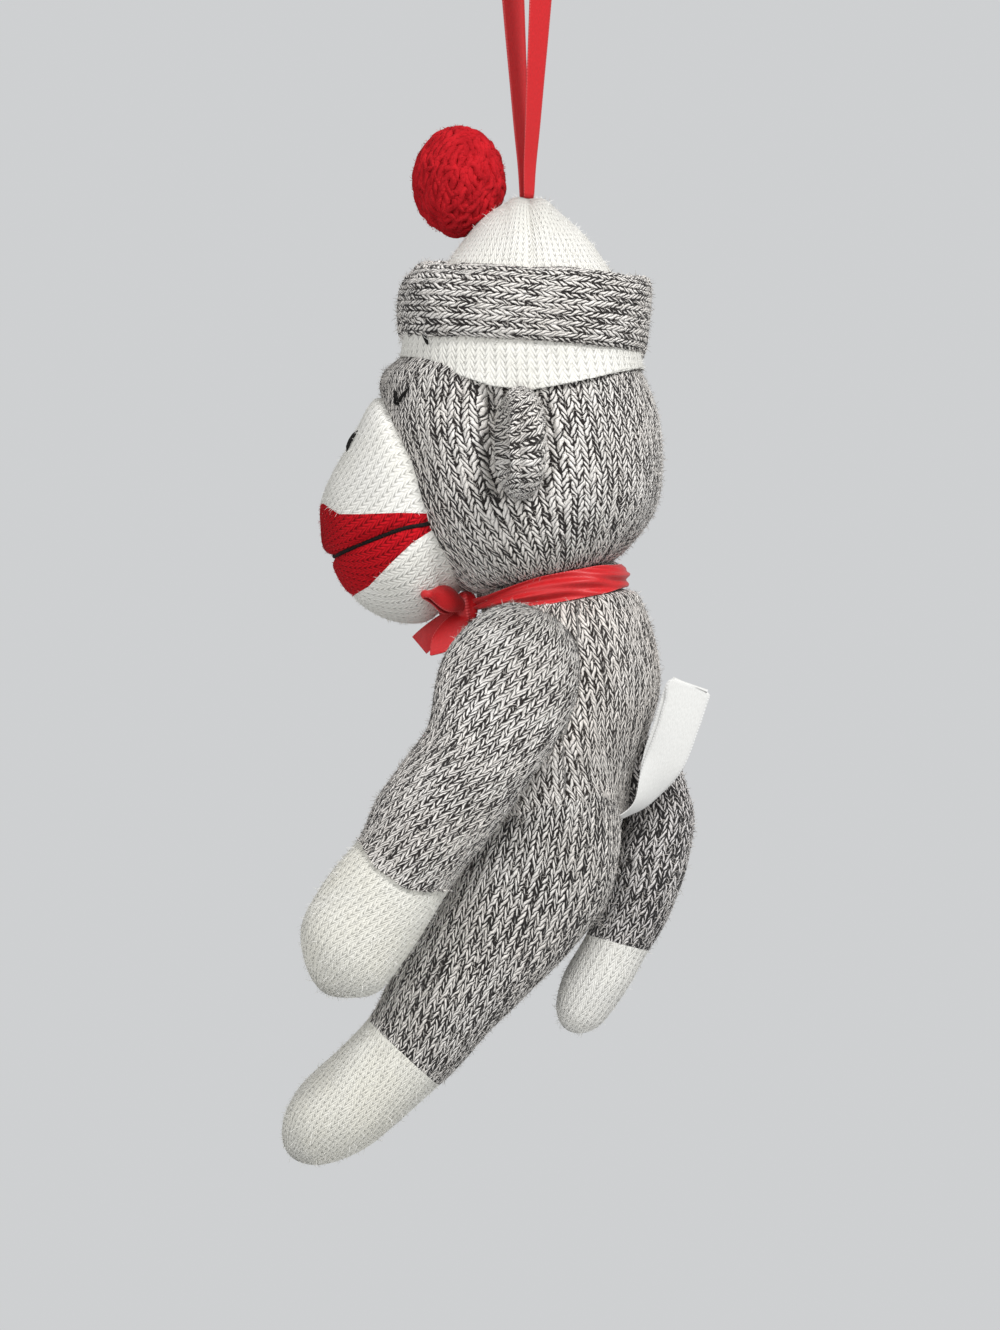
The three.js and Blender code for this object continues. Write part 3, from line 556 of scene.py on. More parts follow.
def lumps(places, size, seed):
    """Soft unevenness of a stuffed shape, from -1 to 1."""
    rng = np.random.default_rng(seed)
    total = np.zeros(places.shape[:-1])
    for _ in range(7):
        way = rng.normal(size=3)
        way *= 2 * math.pi / (size * rng.uniform(0.7, 1.6)) / np.linalg.norm(way)
        total += np.sin(places @ way + rng.uniform(0, 6.3))
    return total / 4


def stitch_height(across, along):
    """The height of knitting over a stitch map, from 0 to 1."""
    aside = np.abs(2 * (across % 1) - 1)
    through = (along + 1.5 * aside) % 1
    crown = 1 - (2 * through - 1) ** 2
    return crown * (0.4 + 0.6 * (1 - np.abs(2 * aside - 1) ** 4))


def net_mesh(net, stitch_map):
    """A mesh from a grid whose corners are moved to a net, and the row and column of each face."""
    rows, columns = net.shape[:2]
    bm = bmesh.new()
    bm.loops.layers.uv.new("stitches")
    bmesh.ops.create_grid(bm, x_segments=columns - 1, y_segments=rows - 1, size=0.5)
    mesh = bpy.data.meshes.new("net")
    bm.to_mesh(mesh)
    bm.free()
    flat = np.empty(len(mesh.vertices) * 3)
    mesh.vertices.foreach_get("co", flat)
    flat = flat.reshape(-1, 3)
    column = np.rint((flat[:, 0] + 0.5) * (columns - 1)).astype(int)
    row = np.rint((flat[:, 1] + 0.5) * (rows - 1)).astype(int)
    mesh.vertices.foreach_set("co", in_metres(net[row, column]).ravel())
    corner = np.empty(len(mesh.loops), int)
    mesh.loops.foreach_get("vertex_index", corner)
    uv = stitch_map[row[corner], column[corner]]
    mesh.uv_layers["stitches"].data.foreach_set("uv", uv.ravel())
    first = np.empty(len(mesh.polygons), int)
    mesh.polygons.foreach_get("loop_start", first)
    corners = corner[first[:, None] + np.arange(4)]
    return mesh, (row[corners].min(axis=1), column[corners].min(axis=1))


def turn_in(bm, depth):
    """Turns the open edges in, behind a sharp rim."""
    rim = [edge for edge in bm.edges if edge.is_boundary]
    for edge in rim:
        edge.smooth = False
    bm.normal_update()
    normals = {}
    made = bmesh.ops.extrude_edge_only(bm, edges=rim)
    for vert in (g for g in made["geom"] if isinstance(g, bmesh.types.BMVert)):
        linked = [edge.other_vert(vert) for edge in vert.link_edges]
        base = next(v for v in linked if len(v.link_faces) > len(vert.link_faces) or v in normals)
        normals[base] = base.normal.copy()
        vert.co -= normals[base] * depth / 1000


def finish_piece(mesh, name, look, body, nodes=(), side=1, keep=None, tuck=0.0):
    """Closes a net's seams, keeps some of its faces, turns its cut edges in and places it."""
    material, slot = look
    if side < 0:
        mesh.transform(Matrix.Scale(-1, 4, (1, 0, 0)))
        mesh.flip_normals()
    bm = bmesh.new()
    bm.from_mesh(mesh)
    if keep is not None:
        gone = [face for face, stays in zip(bm.faces, keep) if not stays]
        bmesh.ops.delete(bm, geom=gone, context="FACES")
    bmesh.ops.remove_doubles(bm, verts=bm.verts, dist=1e-6)
    bmesh.ops.recalc_face_normals(bm, faces=bm.faces)
    if tuck:
        turn_in(bm, tuck)
    bm.to_mesh(mesh)
    bm.free()
    mesh.name = name
    mesh.materials.append(material)
    mesh.shade_smooth()
    piece = add_object(name, mesh)
    if nodes:
        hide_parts(*nodes)
    if body:
        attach(piece, body)
    return piece


def finish_net(name, net, stitch_map, look, body, node, side=1):
    """A whole net as one piece."""
    mesh, _ = net_mesh(net, stitch_map)
    return finish_piece(mesh, name, look, body, [node], side)


def finish_lines(name, lines, halves, sides, outs, look, body, nodes=(), side=1):
    """Many short threads as one piece: lines [threads, points, 3], tubes or flat hairs in mm."""
    count, points = lines.shape[:2]
    run = np.gradient(lines, axis=1)
    aside = unit(np.cross(run, outs))
    up = unit(np.cross(aside, run))
    turns = np.array([0, math.pi]) if sides == 1 else np.linspace(0, 2 * math.pi, sides + 1)
    around = aside[:, :, None] * np.cos(turns)[:, None] + up[:, :, None] * np.sin(turns)[:, None]
    net = (lines[:, :, None] + halves[..., None, None] * around).reshape(count * points, len(turns), 3)
    runs = np.tile(np.arange(points, dtype=float), count)
    mesh, spots = net_mesh(net, np.stack(np.meshgrid(np.linspace(0, 1, len(turns)), runs), axis=-1))
    return finish_piece(mesh, name, look, body, nodes, side, keep=spots[0] % points != points - 1)


HAIR_SHARES = (0.0, 0.35, 0.7, 1.0)
HAIR_HALVES = (0.06, 0.055, 0.045, 0.015)


def fuzz(name, net, slot, body, seed, allowed=1, per_area=0.6, length=2.0, side=1):
    """Loose wool hairs that stand off a knitted net."""
    rng = np.random.default_rng(seed)
    one = np.linalg.norm(net[1:, :-1] - net[:-1, :-1], axis=-1)
    other = np.linalg.norm(net[:-1, 1:] - net[:-1, :-1], axis=-1)
    area = one * other * allowed
    count = int(area.sum() * per_area)
    picked = rng.choice(area.size, count, p=(area / area.sum()).ravel())
    r, c = np.unravel_index(picked, area.shape)
    u, v = rng.uniform(size=(2, count, 1))
    start = net[r, c] * (1 - u) * (1 - v) + net[r + 1, c] * u * (1 - v)
    start = start + net[r, c + 1] * (1 - u) * v + net[r + 1, c + 1] * u * v
    out = outward(net)[r, c]
    aside = unit(np.cross(out, rng.normal(size=(count, 3))))
    turn = np.cross(out, aside)
    size = length * rng.uniform(0.5, 1.3, (count, 1))
    lift = rng.uniform(0.25, 0.9, (count, 1))
    bend = rng.normal(size=(count, 1)) * 0.3
    points = [
        start + size * (out * (lift * k * (1.2 - 0.4 * k) - 0.12) + aside * 0.8 * k + turn * bend * k * k)
        for k in HAIR_SHARES
    ]
    halves = np.broadcast_to(np.array(HAIR_HALVES), (count, len(points)))
    outs = np.repeat(out[:, None], len(points), axis=1)
    return finish_lines(name, np.stack(points, axis=1), halves, 1, outs, hairs[slot], body, side=side)


# The forms, as in the part's source

ROUND, FULL = 2, 2.4
NECK = (0, 5.8, -102)
NECK_LEAN = 11
SHOULDER = (30.2, -3.43, -124.37)
HIP = (15.1, 7.495, -162.79)
TAIL_ROOT = (0, 30.5, -151.83)
RIM_DEPTH_SHARE = 38.2 / 2 / 58.4
RIM_WIDTH_SHARE = 0.302 * 63 / 55

head = Form(
    (0, 0, 0), 0, 102, 74, 63, FULL,
    [
        [0.057, -0.004, 0.108, 0.12],
        [0.097, -0.001, 0.177, 0.2],
        [0.168, -0.005, 0.262, 0.295],
        [0.255, -0.01, 0.341, 0.381],
        [0.335, -0.02, 0.385, 0.428],
        [0.402, -0.028, 0.409, 0.449],
        [0.446, -0.048, 0.457, 0.457],
        [0.5, -0.041, 0.481, 0.467],
        [0.58, -0.026, 0.496, 0.492],
        [0.686, -0.002, 0.484, 0.5],
        [0.784, 0.011, 0.457, 0.489, 0, 2],
        [0.86, 0.022, 0.414, 0.454, 0, 6],
        [0.92, 0.035, 0.352, 0.405, 0, 9],
        [0.962, 0.042, 0.292, 0.35, 0, NECK_LEAN],
    ],
    [[0.045, 0], [0.98, 0.06]],
)
face = Form(
    (0, -29.674, -78.132), -72.4, 26.2, 58, 46, FULL,
    [
        [-0.12, 0.017, 0.488, 0.47],
        [0, 0.017, 0.5, 0.489],
        [0.23, 0.066, 0.49, 0.5],
        [0.477, 0.113, 0.425, 0.463],
        [0.714, 0.128, 0.34, 0.391],
        [0.87, 0.125, 0.254, 0.304],
        [0.962, 0.121, 0.17, 0.185],
    ],
    [[-0.12, 0.017], [1, 0.121]],
)
torso = Form(
    NECK, 0, 66, 58.4, 55, FULL,
    [
        [0, 0, RIM_DEPTH_SHARE, RIM_WIDTH_SHARE, 0, NECK_LEAN],
        [0.067, 0.014, RIM_DEPTH_SHARE, RIM_WIDTH_SHARE, 0, NECK_LEAN],
        [0.085, 0.012, 0.375, 0.375, 0, NECK_LEAN],
        [0.13, 0.005, 0.425, 0.405, 0, 9],
        [0.224, 0.007, 0.459, 0.427, 0, 6],
        [0.376, -0.002, 0.5, 0.447, 0, 3],
        [0.542, -0.024, 0.486, 0.469],
        [0.679, -0.038, 0.447, 0.485],
        [0.815, -0.031, 0.402, 0.5],
        [0.912, -0.004, 0.336, 0.487],
        [0.97, -0.005, 0.24, 0.42],
    ],
    [[-0.02, 0], [1, -0.005]],
)
arm = Form(
    SHOULDER, -26.6, 96.8, 35, 24, ROUND,
    [
        [-0.165, 0, 0.21, 0.2, -0.12],
        [-0.118, 0, 0.37, 0.36, -0.12],
        [0, 0.008, 0.5, 0.485, -0.1],
        [0.124, 0.02, 0.5, 0.5, 0],
        [0.248, 0.043, 0.42, 0.5, 0.16],
        [0.31, 0.017, 0.426, 0.5, 0.24],
        [0.413, -0.034, 0.423, 0.5, 0.33],
        [0.5, -0.071, 0.406, 0.5, 0.39],
        [0.589, -0.091, 0.383, 0.49, 0.43],
        [0.682, -0.129, 0.4, 0.5, 0.46],
        [0.775, -0.163, 0.406, 0.5, 0.48],
        [0.888, -0.171, 0.371, 0.46, 0.5],
        [0.94, -0.151, 0.291, 0.37, 0.5],
        [0.98, -0.163, 0.151, 0.2, 0.5],
    ],
    [[-0.18, 0, -0.12], [1, -0.165, 0.5]],
)
leg = Form(
    HIP, -35.5, 112.5, 38.4, 28.6, ROUND,
    [
        [-0.13, 0, 0.19, 0.2],
        [-0.1, 0.01, 0.31, 0.34],
        [-0.055, 0.03, 0.4, 0.43],
        [0, 0.07, 0.45, 0.48],
        [0.071, 0.112, 0.477, 0.49],
        [0.16, 0.135, 0.487, 0.49],
        [0.267, 0.133, 0.461, 0.49, 0.02],
        [0.409, 0.112, 0.401, 0.465, 0.05],
        [0.551, 0.096, 0.365, 0.44, 0.08],
        [0.64, 0.096, 0.326, 0.413, 0.09],
        [0.729, 0.052, 0.307, 0.406, 0.1],
        [0.818, -0.003, 0.31, 0.399, 0.1],
        [0.916, -0.07, 0.266, 0.343, 0.1],
        [0.969, -0.091, 0.169, 0.227, 0.1],
    ],
    [[-0.14, 0], [1, -0.104, 0.1]],
)
tail = Form(
    TAIL_ROOT, 0, 69, 20.6, 18.6, ROUND,
    [
        [-0.12, 0, 0.3, 0.3],
        [-0.065, 0, 0.45, 0.45],
        [0, 0.02, 0.5, 0.5],
        [0.145, 0.2, 0.44, 0.5, 0, -2],
        [0.275, 0.112, 0.485, 0.5, 0, -7],
        [0.413, 0.015, 0.461, 0.48, 0, -15],
        [0.536, -0.141, 0.427, 0.45, 0, -23],
        [0.645, -0.34, 0.388, 0.42, 0, -28],
        [0.768, -0.558, 0.398, 0.42, 0, -29],
        [0.877, -0.762, 0.34, 0.36, 0, -30],
        [0.942, -0.898, 0.218, 0.24, 0, -32],
    ],
    [[-0.15, 0], [0.971, -0.961]],
)
cap = Form(
    (0, 0, 0), 0, 102, 66, 60.5, FULL,
    [
        [0.012, -0.008, 0.088, 0.1],
        [0.052, -0.008, 0.174, 0.182],
        [0.112, -0.003, 0.258, 0.273],
        [0.161, -0.005, 0.313, 0.331],
        [0.245, -0.011, 0.405, 0.421],
        [0.324, -0.021, 0.461, 0.468],
        [0.392, -0.027, 0.48, 0.489],
        [0.451, -0.024, 0.494, 0.499],
        [0.52, -0.019, 0.511, 0.506],
        [0.56, -0.019, 0.47, 0.46],
    ],
    [[0, -0.006], [0.58, -0.019]],
)
cuff = Form(
    (0, -0.726, -28.458), -4.4, 19, 66.4, 64.4, FULL,
    [
        [-0.5, 0.036, 0.41, 0.412],
        [-0.5, 0.036, 0.43, 0.432],
        [-0.4, 0.02, 0.472, 0.47],
        [0, 0, 0.5, 0.5],
        [0.36, 0, 0.49, 0.49],
        [0.5, 0, 0.465, 0.468],
        [0.5, 0, 0.44, 0.445],
    ],
    [[-0.4, 0.03], [0.4, 0]],
)


def knitted(form, spacing, seed, lump=0.3, rise=0.3, wale=WALE, course=COURSE, bend=None, lean=None):
    """A stuffed knitted surface: its net, with stitches raised, and its stitch map."""
    net, share, runs, girth = form.surface(spacing)
    across, along = np.meshgrid(share * round(girth / wale), runs / course)
    if lean is not None:
        across = across + lean(share[None, :], runs[:, None], net) / wale
    if bend is not None:
        net = bend(net)
    ends = np.minimum(1, np.minimum(runs, runs[-1] - runs) / 6)[:, None]
    net = push(net, rise * stitch_height(across, along) * ends + lump * lumps(net, 16, seed))
    return net, np.stack((across, along), axis=-1)


def finish_knit(name, net, stitch_map, look, body, node, seed, per_area=0.6):
    """A whole net as one piece of knitting, with its loose hairs."""
    finish_net(name, net, stitch_map, look, body, node)
    fuzz(name + "_fuzz", net, look[1], body, seed, per_area=per_area)


def beside(places, line):
    """How far places lie from a line of (y, z), in millimetres, seen from the side."""
    best = np.full(places.shape[:-1], 1e9)
    spots = places[..., 1:]
    for a, b in zip(np.array(line[:-1], float), np.array(line[1:], float)):
        way = b - a
        share = np.clip(((spots - a) @ way) / (way @ way), 0, 1)
        best = np.minimum(best, np.linalg.norm(spots - a - share[..., None] * way, axis=-1))
    return best


def crease(net, line, depth, width):
    """Presses a soft groove into a net along a line seen from the side."""
    return push(net, -depth * bell(beside(net, line), width) * fade(np.abs(net[..., 0]), 8, 16))


EAR_BACK = [(4.6, -55.0), (6.2, -64.0), (5.4, -72.0), (2.6, -79.0)]
EAR_EDGE = [(-9.5, -54.0), (-10.6, -61.0), (-10.2, -69.0), (-8.2, -77.5)]


def build_head():
    def shaped(net):
        """Flat behind the muzzle, and drawn in before and behind the ears."""
        along, back, side = face.inside(net)
        net = face.outside(along - np.maximum(along, 0), back, side)
        net = crease(net, EAR_EDGE, depth=6.0, width=2.4)
        return crease(net, EAR_BACK, depth=1.8, width=1.8)

    def slanted(share, runs, net):
        """The knit runs down and forwards in front of the ears."""
        turn = 2 * math.pi * share
        front = fade(-np.sin(turn), -0.6, 0.7) * np.tanh(3 * np.cos(turn))
        return 12.0 * front * np.sin(math.pi * (runs - 25) / 95)

    net, stitch_map = knitted(head, spacing=0.62, seed=3, bend=shaped, lean=slanted)
    finish_knit("head", net, stitch_map, marl, "head", "head_knit", seed=61)
    return net


def between(start, end, count):
    """Places along a straight line."""
    share = np.linspace(0, 1, count)[:, None]
    return np.array(start) * (1 - share) + np.array(end) * share


def sew_pair(part, surface, paths, lift, arch, power, half, taper):
    """The same few stitches of black thread on each side of the face, each a low arch."""
    count = len(paths[0])
    rise = np.sin(math.pi * np.linspace(0, 1, count)[:, None]) ** power
    lines, outs = [], []
    for path in paths:
        path, ways = surface.settle(path, lift)
        lines.append(path + ways * arch * rise)
        outs.append(ways)
    lines, outs = np.array(lines), np.array(outs)
    halves = np.broadcast_to(half * blunt(count, taper, 4), lines.shape[:2])
    for side, hand in BOTH_HANDS:
        name = hand + part + "_stitches"
        finish_lines(name, lines, halves, 6, outs, black_thread, "head", [hand + part], side)


EYE_CORNERS = ((18.0, -36.2, -51.0), (19.0, -34.7, -54.3), (21.0, -31.2, -50.6))


def build_eyes(net):
    """Each eye is two short stitches of doubled thread in a V."""
    paths = [
        between(EYE_CORNERS[i], EYE_CORNERS[i + 1], 9) + [0, off, off * 0.6]
        for i in (0, 1)
        for off in (-0.32, 0.32)
    ]
    sew_pair("eye", Neighbour(net), paths, lift=0.4, arch=0.25, power=1, half=0.42, taper=0.5)


def build_nostrils(net):
    """Each nostril is a short bar of thread stitches."""
    paths = [
        between((7.7 + off, -45.2, -60.9 + 0.3 * off), (7.3 + off, -48.0, -66.2 - 0.3 * off), 7)
        for off in (-0.75, 0.0, 0.75)
    ]
    sew_pair("nostril", Neighbour(net), paths, lift=0.05, arch=0.55, power=0.6, half=0.4, taper=0.7)


THREAD_END = ((19.7, -28.7, -34.4), (22.3, -26.2, -38.8))


def build_thread_end(cap_net):
    """A cut end of black thread shows on the cap below its band."""
    path = between(*THREAD_END, 9)
    path, ways = Neighbour(cap_net).settle(path, 0.35)
    halves = 0.5 * blunt(len(path), 0.5, 6)
    finish_lines("thread_end", path[None], halves[None], 6, ways[None], black_thread, "head")


ARM_SWELL = 4.0  # how much fuller the arm is where it runs into the chest
LEVEL_REACH = 6.0  # how far apart two surfaces may be and still be drawn level
COARSE = 1.5  # the spacing of a neighbour's net


def swell_at(along):
    return ARM_SWELL * (1 - fade(along, 10, 38))


def meet_chest(net):
    """The arm's outer side spreads towards its edges, where it is sewn to the chest."""
    along, back, side = arm.inside(net)
    middle, aside, depth, width = arm.read(along)
    off = np.clip((back - middle) / np.maximum(depth, 0.1), -1, 1)
    swell = np.minimum(swell_at(along), 0.6 * width)
    outer = side - aside
    power = 0.5 + 0.25 * swell / ARM_SWELL
    spread = swell + (width - swell) * (1 - off**2) ** power
    inner = outer * (width + swell) / np.maximum(width, 0.1) + swell
    return arm.outside(along, back, aside + np.where(outer >= 0, np.maximum(spread, outer), inner))


def widen(net, by):
    """Moves places away from the doll's middle."""
    net = net.copy()
    net[..., 0] += np.sign(net[..., 0]) * by
    return net


def level_with(form, net, where=1):
    """Where two surfaces face the side, one runs into the other without a step."""
    facing = fade(outward(net)[..., 0] * np.sign(net[..., 0]), 0.05, 0.5)
    gap = np.abs(net[..., 0]) - Neighbour(form.surface(COARSE)[0]).reach(net)
    near = np.maximum(LEVEL_REACH - np.abs(gap), 0) ** 2 / (4 * LEVEL_REACH)
    return widen(net, near * (facing * where))


def meet_limbs(net):
    """The chest rises to the arms' edges, and the seat runs on into the legs."""
    out = np.concatenate((np.abs(net[..., :1]), net[..., 1:]), axis=-1)
    along = arm.inside(out)[0]
    edge = arm.origin[0] + arm.read(along)[1] + swell_at(along) - 0.5
    near = 1 - fade(Neighbour(arm.surface(COARSE)[0]).distance(net), 0, 18)
    weight = near * (1 - fade(along, 8, 32))
    weight *= fade(-net[..., 2], 106, 114) * fade(out[..., 0], 6, 20)
    return level_with(leg, widen(net, np.maximum(edge - out[..., 0], 0) * weight))


def meet_seat(net):
    return level_with(torso, net, net[..., 0] > 15)


LABEL_RIDGE = [(19.0, -164.3), (23.0, -164.8), (26.0, -165.4)]
SIDE_SEAM = [(13.2, -119), (12.7, -128.6), (10.4, -137.7), (9.4, -142.6), (9.8, -154), (10.2, -163)]


def build_torso():
    def shaped(net):
        net = crease(meet_limbs(net), SIDE_SEAM, depth=0.6, width=1.2)
        # A small ridge runs forwards from the label's root
        return crease(net, LABEL_RIDGE, depth=-1.0, width=0.9)

    def slanted(share, runs, net):
        """The knit slants away from the seam down each side of the chest, towards the back."""
        seam = np.array(SIDE_SEAM)[::-1]
        off = net[..., 1] - np.interp(net[..., 2], seam[:, 1], seam[:, 0])
        back = (off > 0) * (1 - 0.5 * fade(off, 4, 24))
        return -0.3 * np.sign(net[..., 0]) * back * (runs - 14)

    net, stitch_map = knitted(torso, spacing=0.62, seed=5, bend=shaped, lean=slanted)
    finish_knit("torso", net, stitch_map, marl_back, "torso", "torso_knit", seed=63)


def corners_of(values):
    """The values at the four corners of each cell of a grid."""
    return np.stack((values[:-1, :-1], values[1:, :-1], values[:-1, 1:], values[1:, 1:]))


def part_at(net, beyond):
    """Parts a net where beyond passes 0: the net with that edge drawn smooth, and the faces past it."""
    below = beyond > 0
    past = corners_of(below).all(axis=0)
    wrapped = np.concatenate((past[:, -1:], past, past[:, :1]), axis=1)
    touched = corners_of(np.pad(wrapped, ((1, 1), (0, 0)), "edge"))
    edge = touched.any(axis=0) & ~touched.all(axis=0) & below
    both = wrap(np.concatenate((net, beyond[..., None]), axis=-1))
    both = np.pad(both, ((1, 1), (0, 0), (0, 0)), "edge")
    moved, shortest = net.copy(), np.full(beyond.shape, np.inf)
    rows, columns = beyond.shape
    for down in range(3):
        for turn in range(3):
            other = both[down : down + rows, turn : turn + columns]
            share = beyond / np.maximum(beyond - other[..., 3], 1e-9)
            step = share[..., None] * (other[..., :3] - net)
            size = np.linalg.norm(step, axis=-1)
            better = edge & (other[..., 3] <= 0) & (size < shortest)
            moved[better] = (net + step)[better]
            shortest[better] = size[better]
    return moved, past


def blend_points(form, reaches, side):
    """Two places on a limb's middle line, at given reaches along it, in metres."""
    points = form.outside(np.array(reaches), 0, 0)
    points[:, 0] *= side
    return [tuple(p) for p in in_metres(points)]


LIMB_SPACING = 0.55
FINER = 1.3  # the pale ends are of a finer knit


def build_limb(form, body, line, parts, seed, reaches, hands=BOTH_HANDS, **shape):
    """A limb in its two colours, parted at a line of shares; only its lower part is held by a body."""
    net, stitch_map = knitted(form, LIMB_SPACING, seed, **shape)
    along, back, _ = form.inside(net)
    places = np.array(line)
    cut = np.interp(back / form.depth, places[:, 1], places[:, 0]) * form.length
    net, lower_faces = part_at(net, along - cut)
    for side, hand in hands:
        for lower, (name, node, look) in enumerate(parts):
            mesh, spots = net_mesh(net, stitch_map * (FINER if lower else 1.0))
            here = lower_faces == bool(lower)
            holder = hand + body if lower else None
            nodes = [hand + node]
            piece = finish_piece(
                mesh, hand + name, look, holder, nodes, side, keep=here[spots], tuck=0.8
            )
            hair = fuzz(hand + name + "_fuzz", net, look[1], holder, seed + lower, here, side=side)
            if not lower:
                start, end = blend_points(form, reaches, side)
                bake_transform(piece)
                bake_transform(hair)


WRIST = [[0.587, -1.2], [0.587, -0.48], [0.635, -0.27], [0.65, -0.01], [0.64, 0.1], [0.6, 0.3], [0.6, 1.2]]
ANKLE = [[0.637, -1.2], [0.637, -0.23], [0.665, 0.4], [0.665, 1.4]]
TAIL_TIP = [[0.55, -2], [0.61, -0.7], [0.67, 0.05], [0.78, 2]]


def build_limbs():
    sleeve, mitt = ("sleeve", "arm_knit", marl), ("mitt", "hand", cream_wool)
    lean = lambda share, runs, net: 0.36 * runs
    build_limb(arm, "arm", WRIST, (sleeve, mitt), 41, (-6.0, 14.0), bend=meet_chest, lean=lean)
    upper, toe = ("leg", "leg_knit", marl_leg_painted_shade), ("toe", "foot", cream_wool)
    lean = lambda share, runs, net: -0.3 * runs
    build_limb(leg, "leg", ANKLE, (upper, toe), 43, (-8.0, 14.0), bend=meet_seat, lean=lean)
    upper, tip = ("tail_marl", "tail_knit", marl_tail_painted_shade), ("tail_end", "tail_tip", white_wool)
    build_limb(tail, "tail", TAIL_TIP, (upper, tip), 47, (-4.0, 10.0), hands=((1, ""),))


LIP_TOP = [
    [-0.12, 0.108], [0.195, 0.06], [0.542, 0.016], [0.775, -0.019], [0.836, -0.053], [0.893, -0.088],
    [1.3, -0.17],
]
MOUTH = [[-0.12, 0.152], [0.225, 0.131], [0.393, 0.134], [0.687, 0.14], [0.935, 0.153], [1.3, 0.168]]
LIP_FOOT = [[-0.12, 0.172], [0.16, 0.207], [0.4, 0.259], [0.714, 0.334], [0.908, 0.352], [1.3, 0.4]]


def below_line(net, line):
    """How far places of the muzzle lie below a line across it, in millimetres."""
    along, back, _ = face.inside(net)
    line = np.array(line)
    return back - np.interp(along / face.length, line[:, 0], line[:, 1]) * face.depth


def build_muzzle():
    """One dome in four zones of colour, parted by lines across the face."""

    def pouting(net):
        """The lips are full, and the mouth is drawn in between them."""
        mouth, foot = below_line(net, MOUTH), below_line(net, LIP_FOOT)
        along = face.inside(net)[0]
        deep = fade(along, 1, 12)
        sunk = 1.7 * bell(mouth, 1.3) * (0.35 + 0.65 * deep)
        full = 0.8 * bell(mouth + 4, 3.5) * deep - 0.4 * bell(foot, 1.5)
        tuck = 1.2 * (1 - fade(along, -0.5, 2.5))
        return push(net, -(sunk - full + tuck))

    net, stitch_map = knitted(face, 0.5, seed=11, lump=0.15, rise=0.06, wale=2.7, course=1.7, bend=pouting)
    zone = np.zeros((net.shape[0] - 1, net.shape[1] - 1), int)
    for line in (LIP_TOP, MOUTH, LIP_FOOT):
        net, past = part_at(net, below_line(net, line))
        zone += past
    parts = (
        ("muzzle_top_knit", "muzzle_top", white_wool),
        ("muzzle_upper_lip", "upper_lip", red_wool),
        ("muzzle_lower_lip", "lower_lip", red_wool),
        ("muzzle_chin_knit", "muzzle_chin", white_wool),
    )
    for index, (name, node, look) in enumerate(parts):
        mesh, spots = net_mesh(net, stitch_map)
        finish_piece(mesh, name, look, "head", [node], keep=zone[spots] == index)
    white = (zone == 0) | (zone == 3)
    fuzz("muzzle_fuzz", net, "white_knit", "head", seed=79, allowed=white, length=1.3)
    fuzz("lip_fuzz", net, "red_knit", "head", seed=83, allowed=~white, length=1.0)
    return net


def build_mouth(net):
    """The mouth is one line of thread sewn across between the lips."""
    below = below_line(net, MOUTH)
    right, left = [], []
    for i in range(2, len(net)):
        crossed = below[i, :-1] * below[i, 1:] <= 0
        for half, side in ((right, 1), (left, -1)):
            spots = np.flatnonzero(crossed & (net[i, :-1, 0] * side > 0))
            if len(spots):
                k = spots[0]
                here, there = abs(below[i, k]), abs(below[i, k + 1])
                share = here / max(here + there, 1e-9)
                half.append(net[i, k] * (1 - share) + net[i, k + 1] * share)
    path = np.array(right + left[::-1])
    apart = np.linalg.norm(np.diff(path, axis=0), axis=1) > 0.2
    path = path[np.concatenate(([True], apart))]
    length = reach_along(path)[-1]
    spots = np.linspace(0, length, 61)
    surface = Neighbour(net)
    path, _ = surface.settle(read_path(path, spots), 0.5)
    spread = bell(np.arange(-4, 5), 2.2)
    smooth = lambda values: np.convolve(np.pad(values, 4, "edge"), spread / spread.sum(), "valid")
    path = np.column_stack([smooth(path[:, i]) for i in range(3)])
    path, ways = surface.settle(path, 0.12)
    halves = 0.16 + 0.4 * fade(np.minimum(spots, length - spots), 1, 16)
    nodes = ["mouth_line"]
    finish_lines("mouth_thread", path[None], halves[None], 8, ways[None], black_thread, "head", nodes)


HEM = [
    [0.405, -0.75], [0.409, -0.508], [0.422, -0.383], [0.466, -0.26], [0.492, -0.139],
    [0.502, 0.015], [0.481, 0.188], [0.449, 0.392], [0.44, 0.452], [0.43, 0.75],
]


def build_cap():
    def gathered(net):
        """The cap is drawn together down each side, with a soft fold on each side of its tip."""
        high = fade(net[..., 2], -30, -4)
        off = net[..., 1] - 0.6
        seam = 0.7 * bell(off, 0.8) * fade(np.abs(net[..., 0]), 0.5, 4) * fade(net[..., 2], -34, -26)
        full = 0.9 * bell(np.abs(off) - 3.6, 2.4) * high
        return push(net, full - seam)

    net, stitch_map = knitted(cap, 0.6, seed=17, lump=0.25, rise=0.06, bend=gathered, wale=2.7, course=1.75)
    hem = np.array(HEM)
    limit = -np.interp(net[..., 1] / cap.depth, hem[:, 1], hem[:, 0]) * cap.length
    # What lies below the hem turns up inside it
    under = np.maximum(limit - net[..., 2], 0)
    net[..., 2] = np.maximum(net[..., 2], limit) + np.minimum(under, 2) * 0.2
    net = net * (1 - np.clip(under / 8, 0, 1)[..., None] * np.array([0.08, 0.08, 0]))
    finish_knit("hat", net, stitch_map, white_wool, "head", "hat_cap", seed=67, per_area=0.4)
    build_thread_end(net)


BAND_HALF = 9.5


